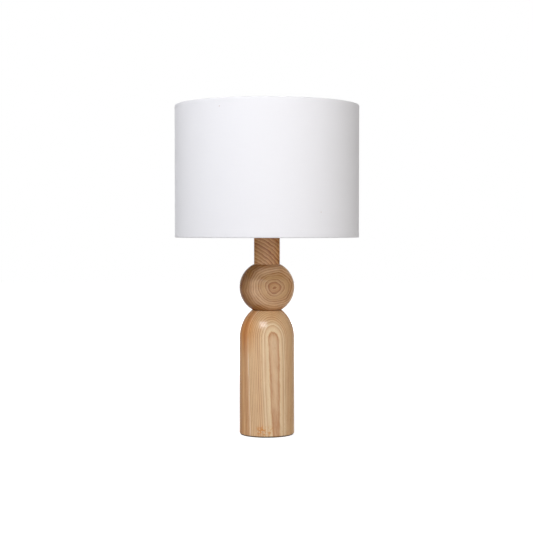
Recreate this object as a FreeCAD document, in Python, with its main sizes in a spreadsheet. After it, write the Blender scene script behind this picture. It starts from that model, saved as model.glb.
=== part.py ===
"""Column table lamp: a turned wooden column, ball and neck on a lamp pipe, a drum shade on a harp.

All sizes are millimetres. The lamp stands on z = 0 with its axis on Z, and its front is -Y.
"""

import FreeCAD, Part
import math
import os
import re

import Sketcher

V = FreeCAD.Vector

# ---------------------------------------------------------------------------
# Driving sizes
# ---------------------------------------------------------------------------
SIZES = {
    # fits and seats shared by several pieces
    "slip_play": 0.1,  # radial play of a piece that slips over or into another
    "seat_gap": 0.1,  # gap under a piece that is only put down on another
    "running_play": 0.05,  # radial play of a turning fit
    # wooden stack
    "felt_thickness": 2.0,
    "felt_diameter": 103.0,
    "column_diameter": 106.2,
    "column_height": 238.5,
    "column_top_diameter": 58.8,  # flat that the ball stands on
    "shoulder_radius": 70.4,  # quarter round from the side to the top flat
    "foot_round": 1.2,  # eased edge at the table
    "recess_diameter": 78.0,  # hollow under the column
    "recess_depth": 30.0,
    "ball_diameter": 106.2,
    "ball_height": 88.5,
    "ball_flat_diameter": 53.2,  # flats turned at both poles
    "neck_diameter": 50.1,
    "neck_height": 56.0,
    "neck_edge_round": 1.0,
    "wood_bore": 10.9,  # drilled way for the lamp pipe
    # lamp pipe and what clamps the stack on it
    "pipe_diameter": 10.1,
    "pipe_bore": 6.8,
    "pipe_top_reach": 7.9,  # how far the pipe goes up into the socket's cap
    "pipe_tail": 2.0,  # thread left showing under the bottom nut
    "ballast_diameter": 74.0,
    "ballast_thickness": 14.0,
    "washer_diameter": 25.0,
    "washer_thickness": 1.5,
    "lock_washer_diameter": 18.0,
    "lock_washer_thickness": 1.5,
    "nut_flats": 14.3,
    "nut_thickness": 4.0,
    "neck_cap_diameter": 38.0,
    "neck_cap_thickness": 1.5,
    # cord outlet at the back of the foot
    "outlet_height": 11.0,  # centre of the hole above the table
    "outlet_diameter": 10.0,
    "bushing_bore": 7.2,
    "bushing_flange_diameter": 14.0,
    "bushing_flange_thickness": 1.5,
    # harp saddle
    "saddle_thickness": 1.6,
    "saddle_width": 12.7,
    "saddle_flat_length": 35.0,
    "saddle_rise": 5.3,  # height of the arm ends above the middle
    "saddle_arm_start": 26.0,  # distance from the axis where the arm levels out
    "saddle_arm_width": 7.4,
    "tip_wall": 1.5,  # wall of the half-round tip that holds the harp's leg
    "tip_height": 13.6,
    # harp
    "harp_wire": 3.2,
    "harp_height": 216.0,  # foot to shade seat, a standard 8 1/2 inch harp
    "harp_spacing": 70.0,  # between the two legs, wide enough for legs and ferrules to pass the bulb
    "harp_leg": 29.0,  # straight part of a leg
    "harp_lower_bend": 40.0,
    "harp_splay": 30.0,  # degrees, outward lean above the lower bend
    "harp_lean_in": 25.0,  # degrees, inward lean below the upper bend
    "harp_top_width": 17.0,  # straight run at the top
    "harp_wire_drop": 8.0,  # shade seat down to the middle of the top wire
    "ferrule_wall": 0.8,
    "ferrule_height": 12.0,
    "ferrule_lift_gap": 1.5,  # ferrule's lower end above the saddle arm
    # swivel stud on the harp
    "block_diameter": 12.0,
    "block_below_wire": 4.5,
    "stud_disc_diameter": 15.0,
    "stud_disc_thickness": 2.0,
    "stud_pin_diameter": 5.2,
    "stud_pin_length": 3.8,
    "stud_diameter": 6.2,
    "stud_length": 14.0,
    # socket
    "socket_hub_diameter": 14.0,
    "socket_hub_height": 9.0,
    "socket_cap_height": 22.0,
    "socket_cap_rim": 3.5,  # straight part of the cap's rim
    "socket_cap_diameter": 32.6,
    "socket_cap_wall": 0.8,
    "shell_wall": 0.6,
    "shell_height": 40.5,
    "shell_start": 19.4,  # lower edge of the shell above the saddle
    "liner_wall": 0.6,
    "liner_short": 2.0,  # liner ends this far inside the shell's rim
    "insulator_start": 14.4,  # underside of the moulded body above the saddle
    "insulator_height": 19.5,
    "screw_shell_wall": 0.4,
    "screw_shell_height": 23.0,
    "screw_shell_opening": 16.0,
    "contact_diameter": 10.0,
    "contact_height": 2.0,
    "terminal_level": 4.5,  # terminal screws above the body's underside
    "terminal_recess": 3.5,
    "terminal_head_diameter": 6.0,
    "terminal_head_height": 2.0,
    "terminal_shank_diameter": 3.0,
    "terminal_shank_length": 4.6,
    "terminal_slot": 0.8,
    "set_screw_level": 5.0,
    "set_screw_diameter": 3.0,
    "set_screw_head_diameter": 4.6,
    "set_screw_head_height": 1.6,
    # turn switch in the socket
    "switch_level": 26.4,  # switch shaft above the saddle
    "switch_hole": 7.0,  # hole in shell and liner round the shaft
    "shaft_diameter": 3.2,
    "shaft_front": 24.5,  # front end of the shaft from the lamp's axis
    "rotor_side": 5.6,
    "rotor_length": 8.0,
    "rotor_room": 0.8,  # room round the rotor's corners
    "knob_diameter": 11.0,
    "knob_length": 12.5,
    "knob_back": 17.5,  # back face of the knob from the lamp's axis
    "knob_flute": 1.2,
    "knob_flute_length": 9.4,
    "knob_round": 1.2,
    # bulb
    "bulb_height": 110.0,
    "bulb_diameter": 60.0,
    "bulb_glass": 1.0,
    "bulb_neck_diameter": 23.8,
    "bulb_flare": 35.0,  # radius of the waist between neck and globe
    "bulb_cap_diameter": 26.2,  # over the thread's crests
    "bulb_cap_wall": 0.45,
    "bulb_cap_height": 22.0,
    "bulb_thread_pitch": 3.6,
    "bulb_thread_depth": 0.5,
    "bulb_tip_diameter": 9.0,
    "bulb_tip_height": 1.5,
    "bulb_insulator_height": 3.0,
    "bulb_insulator_diameter": 23.0,
    "bulb_neck_grip": 4.0,  # glass inside the metal cap
    # shade
    "shade_diameter": 355.6,
    "shade_height": 254.0,
    "hem_thickness": 0.5,
    "hem_lap": 7.0,  # turned up on the outside
    "hem_tuck": 5.4,  # turned up on the inside
    "hem_bevel": 1.2,  # eased corners where the hem turns round the ring
    "fabric_thickness": 0.7,
    "liner_sheet": 0.5,  # stiff sheet behind the fabric
    "ring_wire": 3.4,
    "seam_width": 12.0,
    # spider
    "spider_drop": 21.4,  # shade's top edge down to the hub's underside
    "hub_diameter": 25.0,
    "hub_hole": 6.8,
    "hub_thickness": 1.5,
    "arm_wire": 3.5,
    "arm_inner": 9.0,
    "arm_knee": 24.0,
    "arm_shoulder": 45.0,
    "arm_bend": 8.0,
    "arm_notch": 4.5,  # slot in the hem round each arm
    # finial
    "finial_diameter": 16.0,
    "finial_height": 15.0,
    "finial_bore": 6.4,
    "finial_round": 3.0,
    "finial_groove": 0.8,
    "finial_groove_level": 5.0,
}

# Levels above the table and radii that follow from the driving sizes.
DERIVED = {
    "column_top": "felt_thickness + column_height",
    "shoulder_drop": "sqrt(shoulder_radius^2 - (shoulder_radius - shoulder_reach)^2)",
    "shoulder_reach": "(column_diameter - column_top_diameter) / 2",
    "recess_top": "felt_thickness + recess_depth",
    "ball_top": "column_top + ball_height",
    "ball_bulge": "(ball_diameter - ball_flat_diameter) / 2",
    "ball_radius": "((ball_height / 2)^2 + ball_bulge^2) / (2 * ball_bulge)",
    "neck_top": "ball_top + neck_height",
    "cap_top": "neck_top + neck_cap_thickness",
    "saddle_seat": "cap_top + nut_thickness",
    "socket_seat": "saddle_seat + saddle_thickness",
    "washer_level": "recess_top - ballast_thickness - washer_thickness",
    "lock_washer_level": "washer_level - lock_washer_thickness",
    "bottom_nut_level": "lock_washer_level - nut_thickness",
    "pipe_foot": "bottom_nut_level - pipe_tail",
    "pipe_top": "socket_seat + pipe_top_reach",
    "pipe_hole": "pipe_diameter / 2 + slip_play",
    "arm_level": "socket_seat + saddle_rise",
    "harp_foot": "arm_level + seat_gap",
    "leg_reach": "harp_spacing / 2",
    "leg_hole": "harp_wire / 2 + slip_play",
    "tip_radius": "leg_hole + tip_wall",
    "ferrule_bore": "tip_radius + 2 * slip_play",
    "ferrule_level": "arm_level + ferrule_lift_gap",
    "harp_top": "harp_height - harp_wire_drop",
    # the harp's side and top bends, solved so that the wire runs smoothly from leg to top
    "harp_rise": "harp_top - harp_leg - harp_lower_bend * sin(harp_splay)",
    "harp_draw": "leg_reach + harp_lower_bend * (1 - cos(harp_splay)) - harp_top_width / 2",
    "lean_gap": "cos(harp_lean_in) - cos(harp_splay)",
    "lean_sum": "sin(harp_splay) + sin(harp_lean_in)",
    "top_share": "1 - sin(harp_lean_in)",
    "bend_scale": "lean_sum * cos(harp_lean_in) + top_share * lean_gap",
    "harp_side_bend": "(harp_rise * cos(harp_lean_in) - harp_draw * top_share) / bend_scale",
    "harp_top_bend": "(harp_draw * lean_sum + harp_rise * lean_gap) / bend_scale",
    "shade_seat": "harp_foot + harp_height",
    "block_top": "shade_seat - stud_disc_thickness - seat_gap",
    "block_level": "shade_seat - harp_wire_drop - block_below_wire",
    "hub_level": "shade_seat + seat_gap",
    "hub_top": "hub_level + hub_thickness",
    "shade_top": "hub_level + spider_drop",
    "shade_bottom": "shade_top - shade_height",
    "shade_radius": "shade_diameter / 2",
    "hem_lap_radius": "shade_radius - hem_thickness",
    "fabric_radius": "hem_lap_radius - slip_play",
    "sheet_radius": "fabric_radius - fabric_thickness - slip_play",
    "ring_radius": "sheet_radius - liner_sheet - slip_play - ring_wire / 2",
    "sheet_inset": "hem_thickness + hem_inner_bevel",
    "ring_inset": "hem_thickness + slip_play + ring_wire / 2",
    "hem_inside": "ring_radius - ring_wire / 2 - slip_play - hem_thickness",
    "hem_inner_bevel": "hem_bevel - hem_thickness * (2 - sqrt(2))",
    "arm_drop": "spider_drop - ring_inset + arm_wire / 2",
    "shell_radius": "socket_cap_diameter / 2 - socket_cap_wall - slip_play",
    "liner_radius": "shell_radius - shell_wall - slip_play",
    "insulator_radius": "liner_radius - liner_wall - 2 * slip_play",
    "dome_height": "socket_cap_height - socket_cap_rim - socket_hub_height",
    "dome_reach": "(socket_cap_diameter - socket_hub_diameter) / 2",
    "dome_curve": "sqrt(dome_height^2 + dome_reach^2) / sqrt(2)",
    "insulator_level": "socket_seat + insulator_start",
    "insulator_top": "insulator_level + insulator_height",
    "switch_height": "socket_seat + switch_level",
    "rotor_corner": "rotor_side / sqrt(2)",
    "rotor_space": "rotor_corner + rotor_room",
    "terminal_floor": "insulator_radius - terminal_recess",
    "bulb_level": "insulator_top + contact_height + seat_gap",
    "bulb_cap_level": "bulb_level + bulb_tip_height + bulb_insulator_height",
    "bulb_radius": "bulb_diameter / 2",
    "bulb_centre": "bulb_height - bulb_radius",
    "bulb_neck_radius": "bulb_neck_diameter / 2",
    "bulb_waist": "bulb_centre - sqrt((bulb_radius + bulb_flare)^2 - (bulb_neck_radius + bulb_flare)^2)",
    "thread_swell": "(bulb_thread_depth^2 + (bulb_thread_pitch / 4)^2) / (2 * bulb_thread_depth)",
    "bulb_glass_start": "bulb_tip_height + bulb_insulator_height + bulb_cap_height - bulb_neck_grip",
}

SPIDER_ARMS = ("spider_arm_back", "spider_arm_left", "spider_arm_right")
FIRST_ARM_TURN = FreeCAD.Rotation(V(0, 0, 1), 90)  # the first arm points to the back
ARM_TO_ARM = FreeCAD.Rotation(V(0, 0, 1), 360 / len(SPIDER_ARMS))
KNOB_FLUTES = 12
THREAD_TURNS = 5
CUT_MARGIN = 1.0  # how far a cutting outline reaches past the piece

doc = FreeCAD.newDocument("ColumnTableLamp")
sheet = doc.addObject("Spreadsheet::Sheet", "Sizes")
for row, (name, value) in enumerate(SIZES.items(), start=1):
    sheet.set(f"A{row}", name)
    sheet.set(f"B{row}", str(value))
    sheet.setAlias(f"B{row}", name)
doc.recompute()

parts = []


# ---------------------------------------------------------------------------
# Helpers
# ---------------------------------------------------------------------------
def bind(text):
    """A size written in plain names, as an expression that points at the sheet."""

    def swap(match):
        word = match.group(0)
        if word in DERIVED:
            return f"({bind(DERIVED[word])})"
        return f"Sizes.{word}" if word in SIZES else word

    return re.sub(r"[a-z]\w*", swap, text)


def size(text):
    """The present value of a size expression."""
    return float(sheet.evalExpression(bind(text)))


def new_part(label, level="0", across="0", turn=None):
    """A body for one sub-part, put down at its level above the table."""
    body = doc.addObject("PartDesign::Body", label)
    body.Label = label
    if turn is not None:
        body.Placement = FreeCAD.Placement(V(), turn)
    body.setExpression("Placement.Base.z", bind(level))
    body.setExpression("Placement.Base.x", bind(across))
    parts.append(body)
    return body


def new_sketch(body, plane="XZ_Plane", offset="0"):
    """A sketch on one of the body's own planes, shifted along the plane's normal."""
    sketch = body.newObject("Sketcher::SketchObject", f"{body.Name}_sketch")
    support = next(item for item in body.Origin.OriginFeatures if item.Role == plane)
    sketch.AttachmentSupport = (support, [""])
    sketch.MapMode = "FlatFace"
    sketch.setExpression("AttachmentOffset.Base.z", bind(offset))
    return sketch


def pin(sketch, geometry, end, across, up):
    """Hold one end point of a line or arc, or a circle's centre, at a place from the sheet."""
    for kind, text in (("DistanceX", across), ("DistanceY", up)):
        index = sketch.addConstraint(Sketcher.Constraint(kind, geometry, end, size(text)))
        sketch.setExpression(f"Constraints[{index}]", bind(text))


def set_radius(sketch, geometry, text):
    """Bind the radius of a circle or an arc to the sheet."""
    index = sketch.addConstraint(Sketcher.Constraint("Radius", geometry, size(text)))
    sketch.setExpression(f"Constraints[{index}]", bind(text))


def arc_edge(start, end, radius, side):
    """The short arc between two points that turns to the left (side 1) or right (side -1)."""
    chord = end - start
    middle = start + chord * 0.5
    away = math.sqrt(max(radius**2 - (chord.Length / 2) ** 2, 0))
    left = V(-chord.y, chord.x, 0).normalize()
    centre = middle + left * (away * side)
    first, last = (start, end) if side > 0 else (end, start)
    angles = [math.atan2(p.y - centre.y, p.x - centre.x) for p in (first, last)]
    return Part.ArcOfCircle(Part.Circle(centre, V(0, 0, 1), radius), angles[0], angles[1])


def draw(sketch, corners, closed=True):
    """Draw an outline or a path through corners.

    A corner is (across, up). A third and fourth value say what happens there: "round" and a
    radius ease the corner, and "left" or "right" and a radius make the run to the next corner
    an arc that turns that way.
    """
    spots = [V(size(corner[0]), size(corner[1]), 0) for corner in corners]
    count = len(corners)
    runs = count if closed else count - 1
    base = sketch.GeometryCount
    ends = []
    for i in range(runs):
        start, end = spots[i], spots[(i + 1) % count]
        kind = corners[i][2] if len(corners[i]) > 2 else "straight"
        if kind in ("left", "right"):
            side = 1 if kind == "left" else -1
            sketch.addGeometry(arc_edge(start, end, size(corners[i][3]), side), False)
        else:
            sketch.addGeometry(Part.LineSegment(start, end), False)
        ends.append((2, 1) if kind == "right" else (1, 2))
    for i in range(runs if closed else runs - 1):
        after = (i + 1) % runs
        joint = (base + i, ends[i][1], base + after, ends[after][0])
        sketch.addConstraint(Sketcher.Constraint("Coincident", *joint))
    for i, corner in enumerate(corners):
        run, end = (i, ends[i][0]) if i < runs else (i - 1, ends[i - 1][1])
        pin(sketch, base + run, end, corner[0], corner[1])
    for i in range(runs):
        if len(corners[i]) > 2 and corners[i][2] in ("left", "right"):
            set_radius(sketch, base + i, corners[i][3])
    for i, corner in enumerate(corners):
        if len(corner) > 2 and corner[2] == "round":
            sketch.fillet(base + i, 1, size(corner[3]), True, True)
            arc = max(k for k, item in enumerate(sketch.Geometry) if isinstance(item, Part.ArcOfCircle))
            set_radius(sketch, arc, corner[3])


def circle(sketch, across, up, radius):
    """Draw a full circle."""
    index = sketch.addGeometry(Part.Circle(V(size(across), size(up), 0), V(0, 0, 1), size(radius)), False)
    pin(sketch, index, 3, across, up)
    set_radius(sketch, index, radius)


def box_corners(left, right, low, high):
    """The four corners of a rectangle."""
    return [(left, low), (right, low), (right, high), (left, high)]


def revolve(body, sketch):
    """Spin a section about the body's own Z axis."""
    solid = body.newObject("PartDesign::Revolution", f"{body.Name}_turned")
    solid.Profile = sketch
    solid.ReferenceAxis = (sketch, ["V_Axis"])
    solid.Angle = 360
    return solid


def pad(body, sketch, depth, both_ways=False):
    """Raise a solid on a sketch."""
    solid = body.newObject("PartDesign::Pad", f"{body.Name}_pad")
    solid.Profile = sketch
    solid.SideType = "Symmetric" if both_ways else "One side"
    solid.setExpression("Length", bind(depth))
    return solid


def pocket(body, sketch, depth, forward=False, both_ways=False):
    """Cut a sketch into a body, away from its normal unless forward, and see that it cuts."""
    doc.recompute()
    before = body.Shape.Volume
    hole = body.newObject("PartDesign::Pocket", f"{body.Name}_cut")
    hole.Profile = sketch
    hole.SideType = "Symmetric" if both_ways else "One side"
    hole.Reversed = forward
    hole.setExpression("Length", bind(depth))
    doc.recompute()
    if body.Shape.Volume >= before:
        raise ValueError(f"{body.Label}: a pocket removed nothing")
    return hole


def polar_copies(body, feature, copies):
    """Repeat a cut round the body's Z axis."""
    pattern = body.newObject("PartDesign::PolarPattern", f"{body.Name}_pattern")
    pattern.Originals = [feature]
    pattern.Axis = (next(item for item in body.Origin.OriginFeatures if item.Role == "Z_Axis"), [""])
    pattern.Angle = 360
    pattern.Occurrences = copies
    body.Tip = pattern
    return pattern


def turned(label, level, corners, across="0", turn=None):
    """A turned piece: its section is given as (radius, height above its level)."""
    body = new_part(label, level, across, turn)
    sketch = new_sketch(body)
    draw(sketch, corners)
    revolve(body, sketch)
    return body


def wire_sweep(body, path, plane, offset, across, diameter):
    """Sweep a round wire along a path that leaves the plane square at (across, 0)."""
    section = new_sketch(body, plane, offset)
    circle(section, across, "0", f"{diameter} / 2")
    wire = body.newObject("PartDesign::AdditivePipe", f"{body.Name}_wire")
    wire.Profile = section
    wire.Spine = (path, [])
    return wire


FACING_FRONT = FreeCAD.Rotation(V(1, 0, 0), 90)  # a turned piece's axis laid along -Y
FACING_BACK = FreeCAD.Rotation(V(1, 0, 0), -90)  # and along +Y


# ---------------------------------------------------------------------------
# Foot and wooden stack
# ---------------------------------------------------------------------------
def make_felt_pad():
    """Felt disc glued over the underside."""
    body = new_part("felt_pad")
    sketch = new_sketch(body, "XY_Plane")
    circle(sketch, "0", "0", "felt_diameter / 2")
    pad(body, sketch, "felt_thickness")


def make_column():
    """Turned column: straight side, rounded shoulder, hollow foot and a hole for the cord."""
    side = "column_height - shoulder_drop"
    column = turned("base_column", "felt_thickness", [
        ("recess_diameter / 2", "0"),
        ("column_diameter / 2", "0", "round", "foot_round"),
        ("column_diameter / 2", side, "left", "shoulder_radius"),
        ("column_top_diameter / 2", "column_height"),
        ("wood_bore / 2", "column_height"),
        ("wood_bore / 2", "recess_depth"),
        ("recess_diameter / 2", "recess_depth"),
    ])
    outlet = new_sketch(column)
    circle(outlet, "0", "outlet_height - felt_thickness", "outlet_diameter / 2")
    pocket(column, outlet, "column_diameter / 2 + bushing_flange_thickness")


def make_ball():
    """Turned ball with a flat at each pole."""
    turned("ball", "column_top", [
        ("wood_bore / 2", "0"),
        ("ball_flat_diameter / 2", "0", "left", "ball_radius"),
        ("ball_flat_diameter / 2", "ball_height"),
        ("wood_bore / 2", "ball_height"),
    ])


def make_neck():
    """Turned neck that stands on the ball and goes up into the shade."""
    turned("neck_column", "ball_top", [
        ("wood_bore / 2", "0"),
        ("neck_diameter / 2", "0"),
        ("neck_diameter / 2", "neck_height", "round", "neck_edge_round"),
        ("wood_bore / 2", "neck_height"),
    ])


def make_cord_bushing():
    """Moulded bushing in the cord hole, its flange against the back of the column."""
    bore = "bushing_bore / 2"
    sleeve = "outlet_diameter / 2 - slip_play"
    face = "column_diameter / 2"
    turned("cord_bushing", "outlet_height", [
        (bore, "recess_diameter / 2"),
        (sleeve, "recess_diameter / 2"),
        (sleeve, face),
        ("bushing_flange_diameter / 2", face),
        ("bushing_flange_diameter / 2", f"{face} + bushing_flange_thickness"),
        (bore, f"{face} + bushing_flange_thickness"),
    ], turn=FACING_BACK)


# ---------------------------------------------------------------------------
# Lamp pipe and its clamping pieces
# ---------------------------------------------------------------------------
def make_lamp_pipe():
    """Threaded pipe from the nut in the foot to the socket."""
    turned("lamp_pipe", "pipe_foot",
           box_corners("pipe_bore / 2", "pipe_diameter / 2", "0", "pipe_top - pipe_foot"))


def make_pipe_rings():
    """Ballast, washers and neck cap: rings threaded on the pipe."""
    rings = (
        ("ballast_disc", "recess_top - ballast_thickness", "ballast_diameter", "ballast_thickness"),
        ("bottom_washer", "washer_level", "washer_diameter", "washer_thickness"),
        ("bottom_lock_washer", "lock_washer_level", "lock_washer_diameter", "lock_washer_thickness"),
        ("neck_cap", "neck_top", "neck_cap_diameter", "neck_cap_thickness"),
    )
    for label, level, diameter, thickness in rings:
        turned(label, level, box_corners("pipe_hole", f"{diameter} / 2", "0", thickness))


def make_nut(label, level):
    """Hexagon nut on the lamp pipe."""
    nut = new_part(label, level)
    sketch = new_sketch(nut, "XY_Plane")
    reach = "nut_flats / sqrt(3)"
    draw(sketch, [(f"{reach} * cos({60 * k})", f"{reach} * sin({60 * k})") for k in range(6)])
    circle(sketch, "0", "0", "pipe_hole")
    pad(nut, sketch, "nut_thickness")


# ---------------------------------------------------------------------------
# Harp and its saddle
# ---------------------------------------------------------------------------
def make_harp_saddle():
    """Pressed strip between nut and socket; its half-round tips hold the harp's legs."""
    saddle = new_part("harp_saddle", "saddle_seat")
    side_view = new_sketch(saddle)
    flat = "saddle_flat_length / 2"
    knee = "saddle_arm_start"
    end = "leg_reach + tip_radius"
    top = "saddle_thickness"
    right = [
        (flat, "0"),
        (knee, "saddle_rise"),
        (end, "saddle_rise"),
        (end, f"saddle_rise + {top}"),
        (knee, f"saddle_rise + {top}"),
        (flat, top),
    ]
    left = [(f"-({across})", up) for across, up in reversed(right)]
    draw(side_view, right + left)
    pad(saddle, side_view, "saddle_width", both_ways=True)

    hole = new_sketch(saddle, "XY_Plane")
    circle(hole, "0", "0", "pipe_hole")
    pocket(saddle, hole, f"2 * {top} + {CUT_MARGIN}", both_ways=True)

    waste = new_sketch(saddle, "XY_Plane")
    past = f"({end} + {CUT_MARGIN})"
    for x_side in (1, -1):
        for y_side in (1, -1):
            draw(waste, [
                (f"{x_side} * {flat}", f"{y_side} * (saddle_width / 2 + {CUT_MARGIN})"),
                (f"{x_side} * {flat}", f"{y_side} * saddle_width / 2"),
                (f"{x_side} * {knee}", f"{y_side} * saddle_arm_width / 2"),
                (f"{x_side} * {past}", f"{y_side} * saddle_arm_width / 2"),
                (f"{x_side} * {past}", f"{y_side} * (saddle_width / 2 + {CUT_MARGIN})"),
            ])
    pocket(saddle, waste, f"2 * (saddle_rise + {top} + {CUT_MARGIN})", both_ways=True)

    tips = new_sketch(saddle, "XY_Plane", f"saddle_rise + {top}")
    for side, turn, back in ((1, "left", "right"), (-1, "right", "left")):
        middle = f"{side} * leg_reach"
        outer = f"{side} * (leg_reach + tip_radius)"
        inner = f"{side} * (leg_reach + leg_hole)"
        draw(tips, [
            (middle, "-tip_radius", turn, "tip_radius"),
            (outer, "0", turn, "tip_radius"),
            (middle, "tip_radius"),
            (middle, "leg_hole", back, "leg_hole"),
            (inner, "0", back, "leg_hole"),
            (middle, "-leg_hole"),
        ])
    pad(saddle, tips, "tip_height")


def make_harp_wire():
    """Wire bow from one saddle tip over the bulb to the other."""
    harp = new_part("harp_wire", "harp_foot")
    path = new_sketch(harp)
    low_bend = "harp_leg + harp_lower_bend * sin(harp_splay)"
    right = [
        ("leg_reach", "0"),
        ("leg_reach", "harp_leg", "right", "harp_lower_bend"),
        ("leg_reach + harp_lower_bend * (1 - cos(harp_splay))", low_bend, "left", "harp_side_bend"),
        ("harp_top_width / 2 + harp_top_bend * cos(harp_lean_in)", "harp_top - harp_top_bend * top_share",
         "left", "harp_top_bend"),
        ("harp_top_width / 2", "harp_top"),
    ]
    left = [
        ("-harp_top_width / 2", "harp_top", "left", "harp_top_bend"),
        ("-(harp_top_width / 2 + harp_top_bend * cos(harp_lean_in))",
         "harp_top - harp_top_bend * top_share", "left", "harp_side_bend"),
        ("-(leg_reach + harp_lower_bend * (1 - cos(harp_splay)))", low_bend, "right", "harp_lower_bend"),
        ("-leg_reach", "harp_leg"),
        ("-leg_reach", "0"),
    ]
    draw(path, right + left, closed=False)
    wire_sweep(harp, path, "XY_Plane", "0", "leg_reach", "harp_wire")


def make_ferrule(label, side):
    """Sleeve that locks a leg of the harp in its tip."""
    turned(label, "ferrule_level",
           box_corners("ferrule_bore", "ferrule_bore + ferrule_wall", "0", "ferrule_height"),
           across=f"{side} * leg_reach")


def make_harp_block():
    """Block on the top wire that carries the swivel stud."""
    block = turned("harp_block", "block_level", [
        ("0", "0"),
        ("block_diameter / 2", "0"),
        ("block_diameter / 2", "block_top - block_level"),
        ("stud_pin_diameter / 2 + running_play", "block_top - block_level"),
        ("stud_pin_diameter / 2 + running_play", "block_top - block_level - stud_pin_length - seat_gap"),
        ("0", "block_top - block_level - stud_pin_length - seat_gap"),
    ])
    wire_hole = new_sketch(block, "YZ_Plane")
    circle(wire_hole, "0", "block_below_wire", "harp_wire / 2 + running_play")
    pocket(block, wire_hole, "2 * block_diameter", both_ways=True)


def make_harp_stud():
    """Swivel stud: pin in the block, disc that the shade's hub lies on, thread for the finial."""
    pin_radius = "stud_pin_diameter / 2"
    thread = "stud_diameter / 2"
    disc = "stud_disc_diameter / 2"
    turned("harp_stud", "shade_seat", [
        ("0", "seat_gap - stud_disc_thickness - stud_pin_length"),
        (pin_radius, "seat_gap - stud_disc_thickness - stud_pin_length"),
        (pin_radius, "-stud_disc_thickness"),
        (disc, "-stud_disc_thickness"),
        (disc, "0"),
        (thread, "0"),
        (thread, "stud_length"),
        ("0", "stud_length"),
    ])


# ---------------------------------------------------------------------------
# Socket
# ---------------------------------------------------------------------------
def make_socket_cap():
    """Bell-shaped lower cap of the socket, screwed on the pipe and locked by a set screw."""
    rim = "socket_cap_diameter / 2"
    wall = "socket_cap_wall"
    hub = "socket_hub_diameter / 2"
    dome_top = "socket_hub_height + dome_height"
    cap = turned("socket_cap", "socket_seat", [
        ("pipe_hole", "0"),
        (hub, "0"),
        (hub, "socket_hub_height", "left", "dome_curve"),
        (rim, dome_top),
        (rim, "socket_cap_height"),
        (f"{rim} - {wall}", "socket_cap_height"),
        (f"{rim} - {wall}", dome_top, "right", f"dome_curve - {wall}"),
        (hub, f"socket_hub_height + {wall}"),
        ("pipe_hole", f"socket_hub_height + {wall}"),
    ])
    hole = new_sketch(cap)
    circle(hole, "0", "set_screw_level", "set_screw_diameter / 2 + running_play")
    pocket(cap, hole, f"{hub} + {CUT_MARGIN}")


def make_cap_set_screw():
    """Slotted screw in the cap's hub; its end touches the pipe."""
    shank = "set_screw_diameter / 2"
    head = "set_screw_head_diameter / 2"
    back = "socket_hub_diameter / 2 + seat_gap"
    screw = turned("cap_set_screw", "socket_seat + set_screw_level", [
        ("0", "pipe_hole"),
        (shank, "pipe_hole"),
        (shank, back),
        (head, back),
        (head, f"{back} + set_screw_head_height"),
        ("0", f"{back} + set_screw_head_height"),
    ], turn=FACING_BACK)
    slot = new_sketch(screw, "XY_Plane", f"{back} + set_screw_head_height")
    draw(slot, box_corners(f"-{head} - {CUT_MARGIN}", f"{head} + {CUT_MARGIN}",
                           "-terminal_slot / 2", "terminal_slot / 2"))
    pocket(screw, slot, "set_screw_head_height / 2")


def make_socket_sleeve(label, radius, wall, low, high):
    """Tube round the socket's body with a hole at the front for the switch shaft."""
    sleeve = turned(label, "socket_seat", box_corners(f"{radius} - {wall}", radius, low, high))
    hole = new_sketch(sleeve)
    circle(hole, "0", "switch_level", "switch_hole / 2")
    pocket(sleeve, hole, f"{radius} + {CUT_MARGIN}", forward=True)


def make_socket_body():
    """Moulded insulating body with room for the switch and seats for the terminals."""
    body = turned("socket_body", "insulator_level", [
        ("0", "0"),
        ("insulator_radius", "0"),
        ("insulator_radius", "insulator_height"),
        ("0", "insulator_height"),
    ])
    shaft_level = "(switch_height - insulator_level)"
    room = new_sketch(body, "XY_Plane")
    draw(room, box_corners("-rotor_space", "rotor_space", "-rotor_length / 2 - rotor_room",
                           "rotor_length / 2 + rotor_room"))
    pocket(body, room, f"{shaft_level} + rotor_space", forward=True)

    bore = new_sketch(body)
    circle(bore, "0", shaft_level, "shaft_diameter / 2 + slip_play")
    pocket(body, bore, f"insulator_radius + {CUT_MARGIN}", forward=True)

    seats = new_sketch(body, "XY_Plane", "terminal_level - terminal_head_diameter / 2 - slip_play")
    half = "(terminal_head_diameter / 2 + slip_play)"
    for side in (1, -1):
        draw(seats, [
            (f"{side} * terminal_floor", f"-{half}"),
            (f"{side} * (insulator_radius + {CUT_MARGIN})", f"-{half}"),
            (f"{side} * (insulator_radius + {CUT_MARGIN})", half),
            (f"{side} * terminal_floor", half),
        ])
    pocket(body, seats, f"2 * {half}", forward=True)

    screw_holes = new_sketch(body, "YZ_Plane")
    circle(screw_holes, "0", "terminal_level", "terminal_shank_diameter / 2 + slip_play")
    pocket(body, screw_holes, "2 * insulator_radius", both_ways=True)


def make_screw_shell():
    """Metal cup that takes the bulb's cap, standing on the moulded body."""
    bore = "(bulb_cap_diameter / 2 + 2 * slip_play)"
    outer = f"{bore} + screw_shell_wall"
    turned("screw_shell", "insulator_top", [
        ("screw_shell_opening / 2", "0"),
        (outer, "0"),
        (outer, "screw_shell_height"),
        (bore, "screw_shell_height"),
        (bore, "screw_shell_wall"),
        ("screw_shell_opening / 2", "screw_shell_wall"),
    ])


def make_centre_contact():
    """Sprung centre contact under the bulb's tip."""
    turned("centre_contact", "insulator_top", [
        ("0", "0"),
        ("contact_diameter / 2", "0"),
        ("contact_diameter / 2", "contact_height / 2"),
        ("contact_diameter / 4", "contact_height"),
        ("0", "contact_height"),
    ])


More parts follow.
